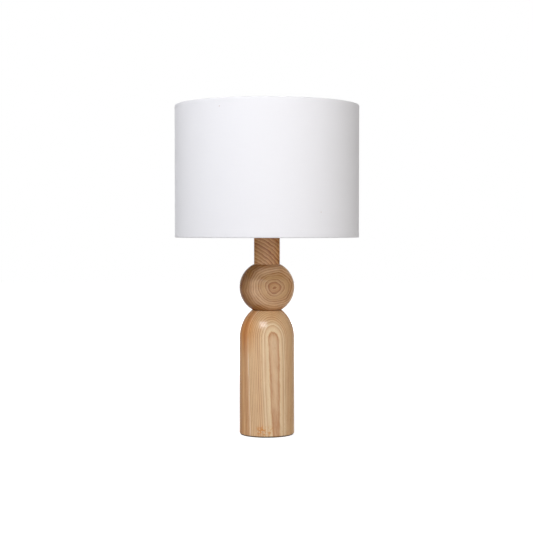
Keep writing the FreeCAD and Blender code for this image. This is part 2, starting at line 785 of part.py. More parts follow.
def make_terminal_screw(label, side):
    """Slotted terminal screw in the side of the moulded body."""
    facing = FreeCAD.Rotation(V(0, 1, 0), 90 * side)
    head = "terminal_head_diameter / 2"
    top = "terminal_floor + terminal_head_height"
    screw = turned(label, "insulator_level + terminal_level", [
        ("0", "terminal_floor - terminal_shank_length"),
        ("terminal_shank_diameter / 2", "terminal_floor - terminal_shank_length"),
        ("terminal_shank_diameter / 2", "terminal_floor"),
        (head, "terminal_floor"),
        (head, top),
        ("0", top),
    ], turn=facing)
    slot = new_sketch(screw, "XY_Plane", top)
    draw(slot, box_corners(f"-{head} - {CUT_MARGIN}", f"{head} + {CUT_MARGIN}",
                           "-terminal_slot / 2", "terminal_slot / 2"))
    pocket(screw, slot, "terminal_head_height / 2")


# ---------------------------------------------------------------------------
# Turn switch
# ---------------------------------------------------------------------------
def make_switch():
    """Shaft, square cam inside the socket and fluted knob outside it."""
    shaft = "shaft_diameter / 2"
    turned("switch_shaft", "switch_height", [
        ("0", "-rotor_length / 2"),
        (shaft, "-rotor_length / 2"),
        (shaft, "shaft_front"),
        ("0", "shaft_front"),
    ], turn=FACING_FRONT)

    rotor = new_part("switch_rotor", "switch_height", turn=FACING_FRONT)
    section = new_sketch(rotor, "XY_Plane")
    half = "rotor_side / 2"
    draw(section, box_corners(f"-{half}", half, f"-{half}", half))
    circle(section, "0", "0", f"{shaft} + running_play")
    pad(rotor, section, "rotor_length", both_ways=True)

    rim = "knob_diameter / 2"
    front = "knob_back + knob_length"
    knob = turned("switch_knob", "switch_height", [
        (f"{shaft} + running_play", "knob_back"),
        (rim, "knob_back"),
        (rim, front, "round", "knob_round"),
        ("0", front),
        ("0", "shaft_front + seat_gap"),
        (f"{shaft} + running_play", "shaft_front + seat_gap"),
    ], turn=FACING_FRONT)
    flute = new_sketch(knob, "XY_Plane", front)
    circle(flute, rim, "0", "knob_flute / 2")
    polar_copies(knob, pocket(knob, flute, "knob_flute_length"), KNOB_FLUTES)


# ---------------------------------------------------------------------------
# Bulb
# ---------------------------------------------------------------------------
def make_bulb():
    """Opal globe, screw cap, insulator and tip contact."""
    tip = "bulb_tip_diameter / 2"
    turned("bulb_tip_contact", "bulb_level", [
        ("0", "0"),
        (f"{tip} / 2", "0"),
        (tip, "bulb_tip_height / 2"),
        (tip, "bulb_tip_height"),
        ("0", "bulb_tip_height"),
    ])

    insulator = "bulb_insulator_diameter / 2"
    turned("bulb_insulator", "bulb_level + bulb_tip_height", [
        ("0", "0"),
        (tip, "0"),
        (insulator, "bulb_insulator_height"),
        ("0", "bulb_insulator_height"),
    ])

    crest = "bulb_cap_diameter / 2"
    root = f"({crest} - bulb_thread_depth)"
    inner = f"{root} - bulb_cap_wall"
    wave = "bulb_thread_pitch / 2"
    thread = [(root, "0")]
    for turn_number in range(THREAD_TURNS):
        level = f"bulb_thread_pitch * {turn_number}"
        thread += [
            (root, f"{level} + {wave} / 2", "left", "thread_swell"),
            (root, f"{level} + 3 * {wave} / 2"),
        ]
    turned("bulb_screw_cap", "bulb_cap_level",
           thread + [(root, "bulb_cap_height"), (inner, "bulb_cap_height"), (inner, "0")])

    neck = "bulb_neck_radius"
    glass = "bulb_glass"
    share = "(bulb_flare / (bulb_radius + bulb_flare))"
    inner_share = "((bulb_flare + bulb_glass) / (bulb_radius + bulb_flare))"
    flare_across = f"({neck} + bulb_flare)"
    turned("bulb_globe", "bulb_level", [
        (f"{neck} - {glass}", "bulb_glass_start"),
        (neck, "bulb_glass_start"),
        (neck, "bulb_waist", "right", "bulb_flare"),
        (f"{flare_across} * (1 - {share})", f"bulb_waist + (bulb_centre - bulb_waist) * {share}",
         "left", "bulb_radius"),
        ("bulb_radius", "bulb_centre", "left", "bulb_radius"),
        ("0", "bulb_height"),
        ("0", f"bulb_height - {glass}", "right", f"bulb_radius - {glass}"),
        (f"bulb_radius - {glass}", "bulb_centre", "right", f"bulb_radius - {glass}"),
        (f"{flare_across} * (1 - {inner_share})", f"bulb_waist + (bulb_centre - bulb_waist) * {inner_share}",
         "left", f"bulb_flare + {glass}"),
        (f"{neck} - {glass}", "bulb_waist"),
    ])


# ---------------------------------------------------------------------------
# Shade
# ---------------------------------------------------------------------------
def make_shade_skins():
    """Fabric drum and the stiff sheet it is laminated to."""
    length = "shade_height - 2 * sheet_inset"
    for label, outer, wall in (("shade_fabric", "fabric_radius", "fabric_thickness"),
                               ("shade_liner", "sheet_radius", "liner_sheet")):
        turned(label, "shade_bottom + sheet_inset", box_corners(f"{outer} - {wall}", outer, "0", length))


def make_shade_ring(label, level):
    """Wire ring that keeps one end of the drum round."""
    ring = new_part(label, level)
    section = new_sketch(ring)
    circle(section, "ring_radius", "0", "ring_wire / 2")
    revolve(ring, section)


def make_hem(label, level, up):
    """Edge fabric turned round the wire ring; up is 1 at the bottom edge and -1 at the top."""
    wall = "hem_thickness"
    hem = turned(label, level, [
        ("shade_radius", f"{up} * hem_lap"),
        ("shade_radius", f"{up} * hem_bevel"),
        ("shade_radius - hem_bevel", "0"),
        ("hem_inside + hem_bevel", "0"),
        ("hem_inside", f"{up} * hem_bevel"),
        ("hem_inside", f"{up} * hem_tuck"),
        (f"hem_inside + {wall}", f"{up} * hem_tuck"),
        (f"hem_inside + {wall}", f"{up} * ({wall} + hem_inner_bevel)"),
        (f"hem_inside + {wall} + hem_inner_bevel", f"{up} * {wall}"),
        ("hem_lap_radius - hem_inner_bevel", f"{up} * {wall}"),
        ("hem_lap_radius", f"{up} * ({wall} + hem_inner_bevel)"),
        ("hem_lap_radius", f"{up} * hem_lap"),
    ], turn=FIRST_ARM_TURN)
    return hem


def make_top_hem():
    """Top hem, cut away on the inside where the three spider arms reach the ring."""
    hem = make_hem("top_hem", "shade_top", -1)
    slot = new_sketch(hem, "XY_Plane", "-hem_tuck")
    draw(slot, box_corners(f"hem_inside - {CUT_MARGIN}", "hem_inside + hem_bevel",
                           "-arm_notch / 2", "arm_notch / 2"))
    polar_copies(hem, pocket(hem, slot, "hem_tuck - hem_thickness", forward=True), len(SPIDER_ARMS))


def make_back_seam():
    """Lap of the fabric down the back of the drum."""
    seam = new_part("back_seam", "shade_bottom + hem_lap + slip_play")
    sketch = new_sketch(seam, "XY_Plane")
    half = "(seam_width / shade_diameter * 180 / pi)"
    corners = []
    for radius, sides, way in (("fabric_radius", (-1, 1), "right"), ("shade_radius", (1, -1), "left")):
        first, last = ((f"{side} * {radius} * sin{half}", f"{radius} * cos{half}") for side in sides)
        corners += [(*first, way, radius), last]
    draw(sketch, corners)
    pad(seam, sketch, "shade_height - 2 * (hem_lap + slip_play)")


def make_spider_hub():
    """Washer in the middle of the spider."""
    turned("spider_hub", "hub_level",
           box_corners("hub_hole / 2", "hub_diameter / 2", "0", "hub_thickness"))


def make_spider_arm(label, turn):
    """Wire arm from under the hub up to the top ring."""
    arm = new_part(label, "hub_level - arm_wire / 2", turn=turn)
    path = new_sketch(arm)
    draw(path, [
        ("arm_inner", "0"),
        ("arm_knee", "0", "round", "arm_bend"),
        ("arm_shoulder", "arm_drop", "round", "arm_bend"),
        ("ring_radius - ring_wire / 2 - running_play", "arm_drop"),
    ], closed=False)
    wire_sweep(arm, path, "YZ_Plane", "arm_inner", "0", "arm_wire")


def make_finial():
    """Low turned nut that holds the spider down on the stud."""
    bore = "finial_bore / 2"
    rim = "finial_diameter / 2"
    turned("finial", "hub_top + seat_gap", [
        (bore, "0"),
        (rim, "0"),
        (rim, "finial_groove_level"),
        (f"{rim} - finial_groove", "finial_groove_level + finial_groove"),
        (rim, "finial_groove_level + 2 * finial_groove"),
        (rim, "finial_height", "round", "finial_round"),
        ("0", "finial_height"),
        ("0", "stud_length - hub_thickness"),
        (bore, "stud_length - hub_thickness"),
    ])


# ---------------------------------------------------------------------------
# Assembly
# ---------------------------------------------------------------------------
def build_lamp():
    """Make every sub-part, from the foot up."""
    make_felt_pad()
    make_column()
    make_ball()
    make_neck()
    make_cord_bushing()

    make_lamp_pipe()
    make_pipe_rings()
    make_nut("bottom_nut", "bottom_nut_level")
    make_nut("top_nut", "cap_top")

    make_harp_saddle()
    make_harp_wire()
    make_ferrule("left_ferrule", -1)
    make_ferrule("right_ferrule", 1)
    make_harp_block()
    make_harp_stud()

    make_socket_cap()
    make_cap_set_screw()
    make_socket_sleeve("socket_shell", "shell_radius", "shell_wall", "shell_start",
                       "shell_start + shell_height")
    make_socket_sleeve("socket_liner", "liner_radius", "liner_wall", "shell_start",
                       "shell_start + shell_height - liner_short")
    make_socket_body()
    make_screw_shell()
    make_centre_contact()
    make_terminal_screw("live_terminal_screw", 1)
    make_terminal_screw("neutral_terminal_screw", -1)

    make_switch()
    make_bulb()

    make_shade_skins()
    make_shade_ring("top_ring", "shade_top - ring_inset")
    make_shade_ring("bottom_ring", "shade_bottom + ring_inset")
    make_top_hem()
    make_hem("bottom_hem", "shade_bottom", 1)
    make_back_seam()
    make_spider_hub()
    turn = FIRST_ARM_TURN
    for label in SPIDER_ARMS:
        make_spider_arm(label, turn)
        turn = ARM_TO_ARM * turn
    make_finial()


def check_parts():
    """Stop if any feature failed or any sub-part is not a sound solid."""
    failed = [item.Label for item in doc.Objects if {"Invalid", "Error"} & set(item.State)]
    if failed:
        raise ValueError(f"features that failed: {failed}")
    for part in parts:
        if part.Shape.isNull() or not part.Shape.isValid() or not part.Shape.Solids:
            raise ValueError(f"{part.Label} has no sound solid")


build_lamp()
doc.recompute()
check_parts()
os.makedirs("parts", exist_ok=True)
for part in parts:
    part.Shape.exportStep(f"parts/{part.Label}.step")
    box = part.Shape.optimalBoundingBox()
    print(f"{part.Label}: z {box.ZMin:.2f} to {box.ZMax:.2f}, {box.XLength:.1f} x {box.YLength:.1f},",
          f"{part.Shape.Volume / 1000:.2f} cm3")
print(f"{len(parts)} sub-parts")
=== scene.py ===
# %% [markdown]
# # A turned wooden table lamp
#
# The lamp is a column, a ball and a neck of lacquered pine, clamped on a threaded pipe. A drum
# shade of off-white cloth hangs on a wire harp above them. The solids come from CAD as a fixed
# frame. This lesson gives them their finishes, and makes the cloth, the felt and the threads new.

# %% Load the frame
import math

import bmesh
import bpy
from mathutils import Euler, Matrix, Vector, noise


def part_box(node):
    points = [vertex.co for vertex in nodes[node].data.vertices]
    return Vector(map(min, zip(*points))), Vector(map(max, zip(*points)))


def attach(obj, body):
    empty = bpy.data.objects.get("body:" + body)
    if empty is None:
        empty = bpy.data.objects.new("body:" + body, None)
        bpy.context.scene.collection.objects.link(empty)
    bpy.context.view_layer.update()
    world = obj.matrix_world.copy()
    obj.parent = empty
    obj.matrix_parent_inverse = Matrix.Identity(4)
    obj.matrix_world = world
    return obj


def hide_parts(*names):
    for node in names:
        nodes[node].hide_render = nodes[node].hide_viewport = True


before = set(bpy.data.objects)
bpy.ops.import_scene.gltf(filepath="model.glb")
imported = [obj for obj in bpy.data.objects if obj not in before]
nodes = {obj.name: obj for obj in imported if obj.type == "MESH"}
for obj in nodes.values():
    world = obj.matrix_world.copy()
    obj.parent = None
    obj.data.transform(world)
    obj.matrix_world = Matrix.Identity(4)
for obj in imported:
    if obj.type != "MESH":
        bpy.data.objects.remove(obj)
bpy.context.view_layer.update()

scene = bpy.context.scene
MM = 0.001

# %% [markdown]
# ## Helpers for every finish
#
# A finish is a small network of nodes. Blender wants its colours as linear light, but a painter
# picks them as hex codes from a screen, so one function turns hex into linear numbers. Another adds
# a node, fills in its settings and connects it. With them each finish below reads like a recipe.


# %% Colours and nodes
def hex_colour(code):
    """An sRGB hex colour as linear red, green, blue and alpha."""
    channels = [int(code[i:i + 2], 16) / 255 for i in (1, 3, 5)]
    linear = [c / 12.92 if c <= 0.04045 else ((c + 0.055) / 1.055) ** 2.4 for c in channels]
    return (*linear, 1.0)


def plug(node, inputs):
    """Fill in inputs: a number, a hex colour, an output, or a node for its first output."""
    for socket, value in inputs.items():
        if isinstance(value, bpy.types.Node):
            value = value.outputs[0]
        if isinstance(value, bpy.types.NodeSocket):
            node.id_data.links.new(value, node.inputs[socket])
        elif isinstance(value, str):
            node.inputs[socket].default_value = hex_colour(value)
        else:
            node.inputs[socket].default_value = value


def add(tree, kind, inputs=None, stops=(), curve=(), **settings):
    """Add a node with its inputs and settings.

    stops are (place, hex colour or grey) on a colour ramp, and curve is (x, y) on a float curve.
    """
    node = tree.nodes.new(kind)
    for name, value in settings.items():
        setattr(node, name, value)
    plug(node, inputs or {})
    for i, (place, colour) in enumerate(stops):
        ramp = node.color_ramp.elements
        stop = ramp[i] if i < len(ramp) else ramp.new(place)
        stop.position = place
        stop.color = hex_colour(colour) if isinstance(colour, str) else (colour, colour, colour, 1)
    if curve:
        points = node.mapping.curves[0].points
        while len(points) < len(curve):
            points.new(0.5, 0.5)
        for point, corner in zip(points, curve):
            point.location = corner
            point.handle_type = "VECTOR"
        node.mapping.update()
    return node


def new_finish(name, **even):
    """A material with a Principled shader; even holds the values that are the same all over."""
    material = bpy.data.materials.new(name)
    material.use_nodes = True
    shader = material.node_tree.nodes["Principled BSDF"]
    plug(shader, {socket.replace("_", " "): value for socket, value in even.items()})
    return material, material.node_tree, shader


COLOUR_A, COLOUR_B, MIXED = 6, 7, 2  # the colour sockets of a Mix node
print("pine, #CEA981, is", [round(c, 3) for c in hex_colour("#CEA981")], "in linear light")

# %% [markdown]
# ## Camera
#
# The lamp was photographed with a long lens from a little over its middle, so its upright lines
# stay upright and the shade's rims are flat ovals. An 85 mm lens at 2.44 m, tilted down by 1.6
# degrees, gives the same ovals.

# %% Set up the camera
CAMERA_PLACE = (-0.0008, -2.437, 0.394)
CAMERA_TILT = math.radians(1.625)

camera_data = bpy.data.cameras.new("camera")
camera_data.lens = 85
camera_data.sensor_width = 36
camera = bpy.data.objects.new("camera", camera_data)
camera.location = CAMERA_PLACE
camera.rotation_euler = (math.pi / 2 - CAMERA_TILT, 0, 0)
scene.collection.objects.link(camera)
scene.camera = camera
print("camera", round(-CAMERA_PLACE[1], 3), "m in front of the lamp")

# %% [markdown]
# ## Studio light
#
# A product studio hangs one big softbox in front of the set, high and to one side, and lets white
# walls fill the rest. The softbox's size matters most: it sets how soft the shade's shadow on the
# wood is, and how large the highlight on the lacquer gets. Weaker panels stand in for the light
# that the room throws back. The walls are the world: plain light for the lamp, and white wherever
# the camera, a reflection or clear glass looks at them.

# %% White walls
WALL_LIGHT = 0.12


def looked_at(tree):
    """1 where the camera, a reflection or clear glass looks, and 0 for the light on the lamp."""
    rays = add(tree, "ShaderNodeLightPath").outputs
    seen = add(tree, "ShaderNodeMath", {0: rays["Is Camera Ray"], 1: rays["Is Glossy Ray"]},
               operation="MAXIMUM")
    return add(tree, "ShaderNodeMath", {0: seen, 1: rays["Is Transmission Ray"]},
               operation="MAXIMUM")


scene.view_settings.view_transform = "Standard"
world = bpy.data.worlds.new("white_studio")
world.use_nodes = True
scene.world = world
tree = world.node_tree
strength = add(tree, "ShaderNodeMapRange", {"Value": looked_at(tree), "To Min": WALL_LIGHT})
plug(tree.nodes["Background"], {"Strength": strength, "Color": "#FFFFFF"})
print("walls give", WALL_LIGHT, "of full white to the lamp")

# %% Softbox and panels
LIT_POINT = Vector((0, 0, 0.33))


def hang_panel(name, azimuth, elevation, distance, width, height, power, colour="#FFFFFF",
               mirrored=False):
    """A soft panel that faces the lamp. Azimuth 0 is in front of it, and positive is to the right.

    A panel that isn't mirrored lights the lamp, but reflections show the white wall in its place.
    """
    data = bpy.data.lights.new(name, "AREA")
    data.shape = "RECTANGLE"
    data.size, data.size_y = width, height
    data.energy = power
    data.color = hex_colour(colour)[:3]
    lamp = bpy.data.objects.new(name, data)
    turn, rise = math.radians(azimuth), math.radians(elevation)
    away = Vector((math.sin(turn) * math.cos(rise), -math.cos(turn) * math.cos(rise),
                   math.sin(rise)))
    lamp.location = LIT_POINT + away * distance
    lamp.rotation_mode = "QUATERNION"
    lamp.rotation_quaternion = away.to_track_quat("Z", "Y")
    lamp.visible_glossy = mirrored
    scene.collection.objects.link(lamp)
    print(name, "at", [round(v, 2) for v in lamp.location], "m,", power, "W")


hang_panel("key_softbox", -21, 43, 2.6, 1.35, 1.2, 41, "#FBFBFF", mirrored=True)
hang_panel("front_panel", -4, 8, 3.2, 1.8, 1.6, 23)
hang_panel("left_panel", -88, 20, 2.6, 1.3, 1.8, 8)
hang_panel("right_panel", 58, 12, 3.0, 1.6, 1.6, 23, "#FFF9F3")
hang_panel("back_panel", 180, 15, 3.0, 1.8, 1.6, 58)
hang_panel("under_table_panel", 0, -90, 2.4, 2.0, 2.0, 3)

# %% [markdown]
# ## Table
#
# The table is a large white sheet. Lit like the lamp it would come out light grey, so it gets some
# glow of its own where the camera or a reflection sees it. Only part of its brightness is glow, so
# the lamp's soft shadow still shows. Further out the glow takes over, and sheet and wall meet
# without a line. There is light below it as well, as with an opal glass shooting table: the sheet
# casts no shadow and is clear from below, so that the lamp's underside can be looked at.

# %% White table
TABLE_WIDTH = 14.0
TABLE_GAP = 0.1  # mm under the felt, so that the two don't fight
TABLE_GLOW = 0.74
SWEEP_START, SWEEP_END = 0.45, 1.5  # m from the lamp where the glow takes over

table_paper, tree, shader = new_finish("matt_white_paper", Roughness=0.9, Base_Color="#C6C6C5",
                                       Emission_Color="#FFFFFF")
geometry = add(tree, "ShaderNodeNewGeometry").outputs
away = add(tree, "ShaderNodeVectorMath", {0: geometry["Position"]}, operation="LENGTH")
sweep = add(tree, "ShaderNodeMapRange", {
    "Value": away.outputs["Value"], "From Min": SWEEP_START, "From Max": SWEEP_END,
    "To Min": TABLE_GLOW}, interpolation_type="SMOOTHSTEP")
glow = add(tree, "ShaderNodeMath", {0: looked_at(tree), 1: sweep}, operation="MULTIPLY")
plug(shader, {"Emission Strength": glow})
clear = add(tree, "ShaderNodeBsdfTransparent")
either = add(tree, "ShaderNodeMixShader", {0: geometry["Backfacing"], 1: shader, 2: clear})
plug(tree.nodes["Material Output"], {"Surface": either})

half = TABLE_WIDTH / 2
table_mesh = bpy.data.meshes.new("table_top")
table_mesh.from_pydata([(-half, -half, 0), (half, -half, 0), (half, half, 0), (-half, half, 0)], [],
                       [(0, 1, 2, 3)])
table_mesh.materials.append(table_paper)
table_top = bpy.data.objects.new("table_top", table_mesh)
table_top.location.z = -TABLE_GAP * MM
scene.collection.objects.link(table_top)
table_top.visible_shadow = False
print("table", TABLE_WIDTH, "m wide")

# %% [markdown]
# ## Wood: a trunk in three coordinates
#
# Pine grows a ring each year: pale, soft wood in spring that slowly turns into the dense, red-brown
# wood of late summer, and then stops with a sharp edge. What a turned piece shows is a slice
# through those rings. So the pattern isn't painted on the surface: the shader works out, for each
# point, how far it lies from the trunk's middle (the pith), and how many years that is. A flat side
# then shows stripes, a dome arches and an end rings, and they agree from every side.
#
# A trunk is never a perfect cylinder: its pith leans and bows, slow noise bends the rings, and
# noise stretched along the trunk frays their edges. The satin lacquer gives a soft highlight.

# %% From a point to its year
TRUNK_REACH = 200.0  # mm from the pith that the year curve covers
MOST_YEARS = 60.0


def trunk_place(tree, pith, turn, across):
    """Each point in millimetres, with the trunk's middle on Z; across squeezes an oval trunk round.

    pith is a point of the lamp's space, in mm, that the middle of the trunk goes through.
    """
    place = add(tree, "ShaderNodeTexCoord").outputs["Object"]
    start = Vector([stretch * value for stretch, value in zip(across, pith)])
    start.rotate(Euler(turn))
    return add(tree, "ShaderNodeMapping", {
        "Vector": place, "Location": -start, "Rotation": turn,
        "Scale": [stretch / MM for stretch in across]})


def sized_noise(tree, place, sizes, seed=0.0, detail=2.0, rough=0.5):
    """Noise with its grain size along x, y and z, in the units that place is in."""
    scaled = add(tree, "ShaderNodeMapping", {
        "Vector": place, "Location": (seed, seed, seed), "Scale": [1 / size for size in sizes]})
    return add(tree, "ShaderNodeTexNoise", {
        "Vector": scaled, "Scale": 1.0, "Detail": detail, "Roughness": rough})


def trunk_years(tree, place, lines, bends, seed):
    """Distance from the pith in mm, and the years it took to grow there.

    lines are the distances of the dark lines. Each of bends is (size across, size along, reach) of
    the waves that push the rings about, in mm.
    """
    bent = place
    for across, along, reach in bends:
        wave = sized_noise(tree, place, (across, across, along), seed).outputs["Color"]
        wave = add(tree, "ShaderNodeVectorMath", {0: wave, 1: (0.5, 0.5, 0.5)},
                   operation="SUBTRACT")
        bent = add(tree, "ShaderNodeVectorMath", {0: wave, 1: (reach, reach, 0), 2: bent},
                   operation="MULTIPLY_ADD")
    flat = add(tree, "ShaderNodeVectorMath", {0: bent, 1: (1, 1, 0)}, operation="MULTIPLY")
    distance = add(tree, "ShaderNodeVectorMath", {0: flat}, operation="LENGTH").outputs["Value"]
    share = add(tree, "ShaderNodeMath", {0: distance, 1: TRUNK_REACH}, operation="DIVIDE")
    inner_step, outer_step = lines[1] - lines[0], lines[-1] - lines[-2]
    start = math.ceil(lines[0] / inner_step)
    inner = start - lines[0] / inner_step
    outer = start + len(lines) - 1 + (TRUNK_REACH - lines[-1]) / outer_step
    corners = [(line / TRUNK_REACH, (start + i) / MOST_YEARS) for i, line in enumerate(lines)]
    corners = [(0, inner / MOST_YEARS), *corners, (1, outer / MOST_YEARS)]
    age = add(tree, "ShaderNodeFloatCurve", {"Value": share}, curve=corners)
    return distance, add(tree, "ShaderNodeMath", {0: age, 1: MOST_YEARS}, operation="MULTIPLY")


print("the year curve reaches", TRUNK_REACH, "mm and", MOST_YEARS, "years")


# %% Spring wood, late wood, resin and fibres
FRAY = 2.4  # mm by which the ground tones fray
LEAN_SPAN = 100.0  # mm of trunk that the pith's lean and bow are given for


def pine(name, pith, lines, tones, late, bends, rise, faint, seed, turn=(math.pi / 2, 0, 0),
         across=(1, 1, 1), lean=(0, 0), bow=(0, 0)):
    """Lacquered pine. tones are (mm from the pith, hex colour), and late is the late wood's tint.

    lean and bow say how many mm the pith wanders over LEAN_SPAN, in proportion and as a square.
    rise is the share of a year before late wood starts, and faint how weak a line may get.
    """
    material, tree, shader = new_finish(name)
    place = trunk_place(tree, pith, turn, across)
    up = add(tree, "ShaderNodeSeparateXYZ", {0: place}).outputs["Z"]
    up = add(tree, "ShaderNodeMath", {0: up, 1: 1 / LEAN_SPAN}, operation="MULTIPLY")
    square = add(tree, "ShaderNodeMath", {0: up, 1: up}, operation="MULTIPLY")
    for height, (x, y) in ((up, lean), (square, bow)):
        place = add(tree, "ShaderNodeVectorMath", {0: height, 1: (-x, -y, 0), 2: place},
                    operation="MULTIPLY_ADD")
    distance, years = trunk_years(tree, place, lines, bends, seed)

    season = add(tree, "ShaderNodeMath", {0: years}, operation="FRACT")
    dense = add(tree, "ShaderNodeValToRGB", {"Fac": season}, stops=[
        (0.0, 0.4), (0.06, 0.0), (rise / 2, 0.06), (rise, 0.35),
        (0.86, 0.9), (0.94, 1.0), (1.0, 0.7)])
    year = add(tree, "ShaderNodeMath", {0: years}, operation="FLOOR")
    luck = add(tree, "ShaderNodeTexWhiteNoise", {"W": year}, noise_dimensions="1D")
    show = add(tree, "ShaderNodeMapRange", {"Value": luck, "To Min": faint})
    line = add(tree, "ShaderNodeMath", {0: dense, 1: show}, operation="MULTIPLY")
    # a line comes and goes a little along the trunk, over a few centimetres
    patch = sized_noise(tree, place, (16, 16, 45), seed)
    fade = add(tree, "ShaderNodeMapRange", {
        "Value": patch, "From Min": 0.38, "From Max": 0.58, "To Min": (1 + faint) / 2})
    line = add(tree, "ShaderNodeMath", {0: line, 1: fade}, operation="MULTIPLY")

    # the ground tone follows the distance from the pith, a little raggedly
    ragged = sized_noise(tree, place, (2.5, 2.5, 14), seed, detail=3)
    reach = add(tree, "ShaderNodeMath", {0: ragged, 1: FRAY, 2: distance}, operation="MULTIPLY_ADD")
    near, far = tones[0][0], tones[-1][0]
    share = add(tree, "ShaderNodeMapRange", {
        "Value": reach, "From Min": near + FRAY / 2, "From Max": far + FRAY / 2})
    ground = add(tree, "ShaderNodeValToRGB", {"Fac": share}, stops=[
        ((mm - near) / (far - near), code) for mm, code in tones])
    wood = add(tree, "ShaderNodeMix", {0: line, COLOUR_A: ground, COLOUR_B: late},
               data_type="RGBA", blend_type="MULTIPLY").outputs[MIXED]

    # fibres are 0.04 mm wide on real pine; 0.8 mm is as fine as the picture can show
    fibre = sized_noise(tree, place, (0.8, 0.8, 30), seed, detail=3, rough=0.6)
    streak = sized_noise(tree, place, (3, 3, 110), seed)
    both = add(tree, "ShaderNodeMath", {0: fibre, 1: streak})
    shade = add(tree, "ShaderNodeMapRange", {
        "Value": both, "From Min": 0.7, "From Max": 1.3, "To Min": 0.94, "To Max": 1.06})
    wood = add(tree, "ShaderNodeVectorMath", {0: wood, 1: shade}, operation="MULTIPLY")

    # resin canals show as fine brown dashes: real ones are 0.2 mm wide and are drawn at 0.7 mm
    canal = sized_noise(tree, place, (0.7, 0.7, 7), seed + 20, detail=1)
    canal = add(tree, "ShaderNodeMapRange", {
        "Value": canal, "From Min": 0.66, "From Max": 0.74, "To Max": 0.5})
    wood = add(tree, "ShaderNodeMix", {0: canal, COLOUR_A: wood, COLOUR_B: "#9C6434"},
               data_type="RGBA").outputs[MIXED]

    # satin lacquer shines where it faces a lamp, and scatters to a dull edge at a glancing angle
    edge_on = add(tree, "ShaderNodeLayerWeight", {"Blend": 0.5}).outputs["Facing"]
    gloss = add(tree, "ShaderNodeMapRange", {
        "Value": edge_on, "From Min": 0.08, "From Max": 0.5, "To Min": 0.68, "To Max": 0.02})
    # late wood is harder and takes a better polish than the spring wood
    polish = add(tree, "ShaderNodeMapRange", {"Value": line, "To Min": 0.27, "To Max": 0.18})
    relief = add(tree, "ShaderNodeMath", {0: line, 1: 0.8, 2: fibre}, operation="MULTIPLY_ADD")
    bump = add(tree, "ShaderNodeBump", {"Height": relief, "Strength": 0.4, "Distance": 0.09 * MM})
    plug(shader, {"Base Color": wood, "Specular IOR Level": gloss, "Roughness": polish,
                  "Normal": bump})
    print(name)
    return tree, shader, place, wood, material


# %% [markdown]
# ### Three blanks from different trees
#
# The column was turned from a plank cut beside the pith, which lies in front of the piece: the
# rings come nearest to the surface in front, so they run as stripes up the side and close into
# arches over the shoulder. The pith leans and bows a little, so the innermost year shows as a long
# wedge. The ball was turned across the trunk, so its front is end grain with the pith in it. So was
# the neck, but well away from the pith, and the rings cross it as wavy diagonals.

# %% Pine for the column
tree, shader, place, wood, column_pine = pine(
    "pine_column_satin_lacquer", pith=(48.5, -129.05, 0), turn=(0, 0, 0), lean=(-8.5, -1.9),
    bow=(0, -0.15),
    lines=(85.2, 89.2, 92.4, 95.3, 98.3, 101.7, 104.9, 108.4, 111.5, 115.4, 118.9, 122.9, 126.9,
           131.9, 136.9, 141.9, 146.9),
    tones=((78, "#C69E72"), (83, "#CCA67C"), (83.7, "#DCC19B"), (84.5, "#D6B68C"),
           (85.1, "#C69A6C"), (85.8, "#D8BC94"), (87.6, "#DCC29A"), (89, "#DEC49E"),
           (90.5, "#D6BA92"), (95, "#D2AE82"), (116, "#DAB88C"), (117.3, "#EBD4B6"),
           (119, "#D8B084"), (123, "#CCA072"), (127, "#BE8E5E"), (132, "#DAB080"),
           (139, "#CCA072"), (147, "#C2966A")),
    late="#C49468", bends=((30, 150, 2.0), (10, 120, 1.2), (4, 50, 0.6)), rise=0.55, faint=0.5,
    seed=3.0)


def closeness(tree, middle, reach):
    """1 near a point of the lamp, in mm, that fades to 0 at a reach along x, y and z."""
    near = add(tree, "ShaderNodeMapping", {
        "Vector": add(tree, "ShaderNodeTexCoord").outputs["Object"],
        "Location": [-at / far for at, far in zip(middle, reach)],
        "Scale": [1 / (far * MM) for far in reach]})
    away = add(tree, "ShaderNodeVectorMath", {0: near}, operation="LENGTH")
    return add(tree, "ShaderNodeMapRange", {
        "Value": away.outputs["Value"], "From Min": 1.0, "From Max": 0.3})


# painted shade darkens the left of the shoulder, where the shade and ball shadow it, and makes it
# more orange
shoulder_shade = closeness(tree, (-40, -34, 208), (27, 34, 62))
wood = add(tree, "ShaderNodeMix", {0: shoulder_shade, COLOUR_A: wood, COLOUR_B: "#F4D6AE"},
           data_type="RGBA", blend_type="MULTIPLY").outputs[MIXED]

# a healed twig near the foot left orange flecks in the grain
close = closeness(tree, (-5, -52, 13), (23, 30, 13))
speck = sized_noise(tree, place, (4.5, 4.5, 4), seed=9.0, detail=3)
speck = add(tree, "ShaderNodeMapRange", {"Value": speck, "From Min": 0.5, "From Max": 0.56})
fleck = add(tree, "ShaderNodeMath", {0: close, 1: speck}, operation="MULTIPLY")
wood = add(tree, "ShaderNodeMix", {0: fleck, COLOUR_A: wood, COLOUR_B: "#C27C2C"},
           data_type="RGBA").outputs[MIXED]
plug(shader, {"Base Color": wood})

# %% Pine for the ball
OVAL = 1.13  # the ball's rings are wider than they are high
*_, ball_pine = pine(
    "pine_ball_satin_lacquer", pith=(15, 0, 286.3), across=(1 / OVAL, 1, 1),
    lines=(2.2, 5.6, 11.0, 16.2, 20.6, 24.6, 28.6, 33, 37.5, 42, 46, 50),
    tones=((0, "#985C28"), (1.6, "#AC743C"), (3.4, "#C49A68"), (8, "#B4804A"), (12, "#C8A070"),
           (22, "#C69C6A"), (29, "#D2AA7E"), (35, "#E0BA90"), (42, "#CCA278"), (48, "#B08250"),
           (54, "#A0744A")),
    late="#B8844E", bends=((26, 90, 9.0), (9, 40, 1.8)), rise=0.35, faint=0.35, seed=11.0)

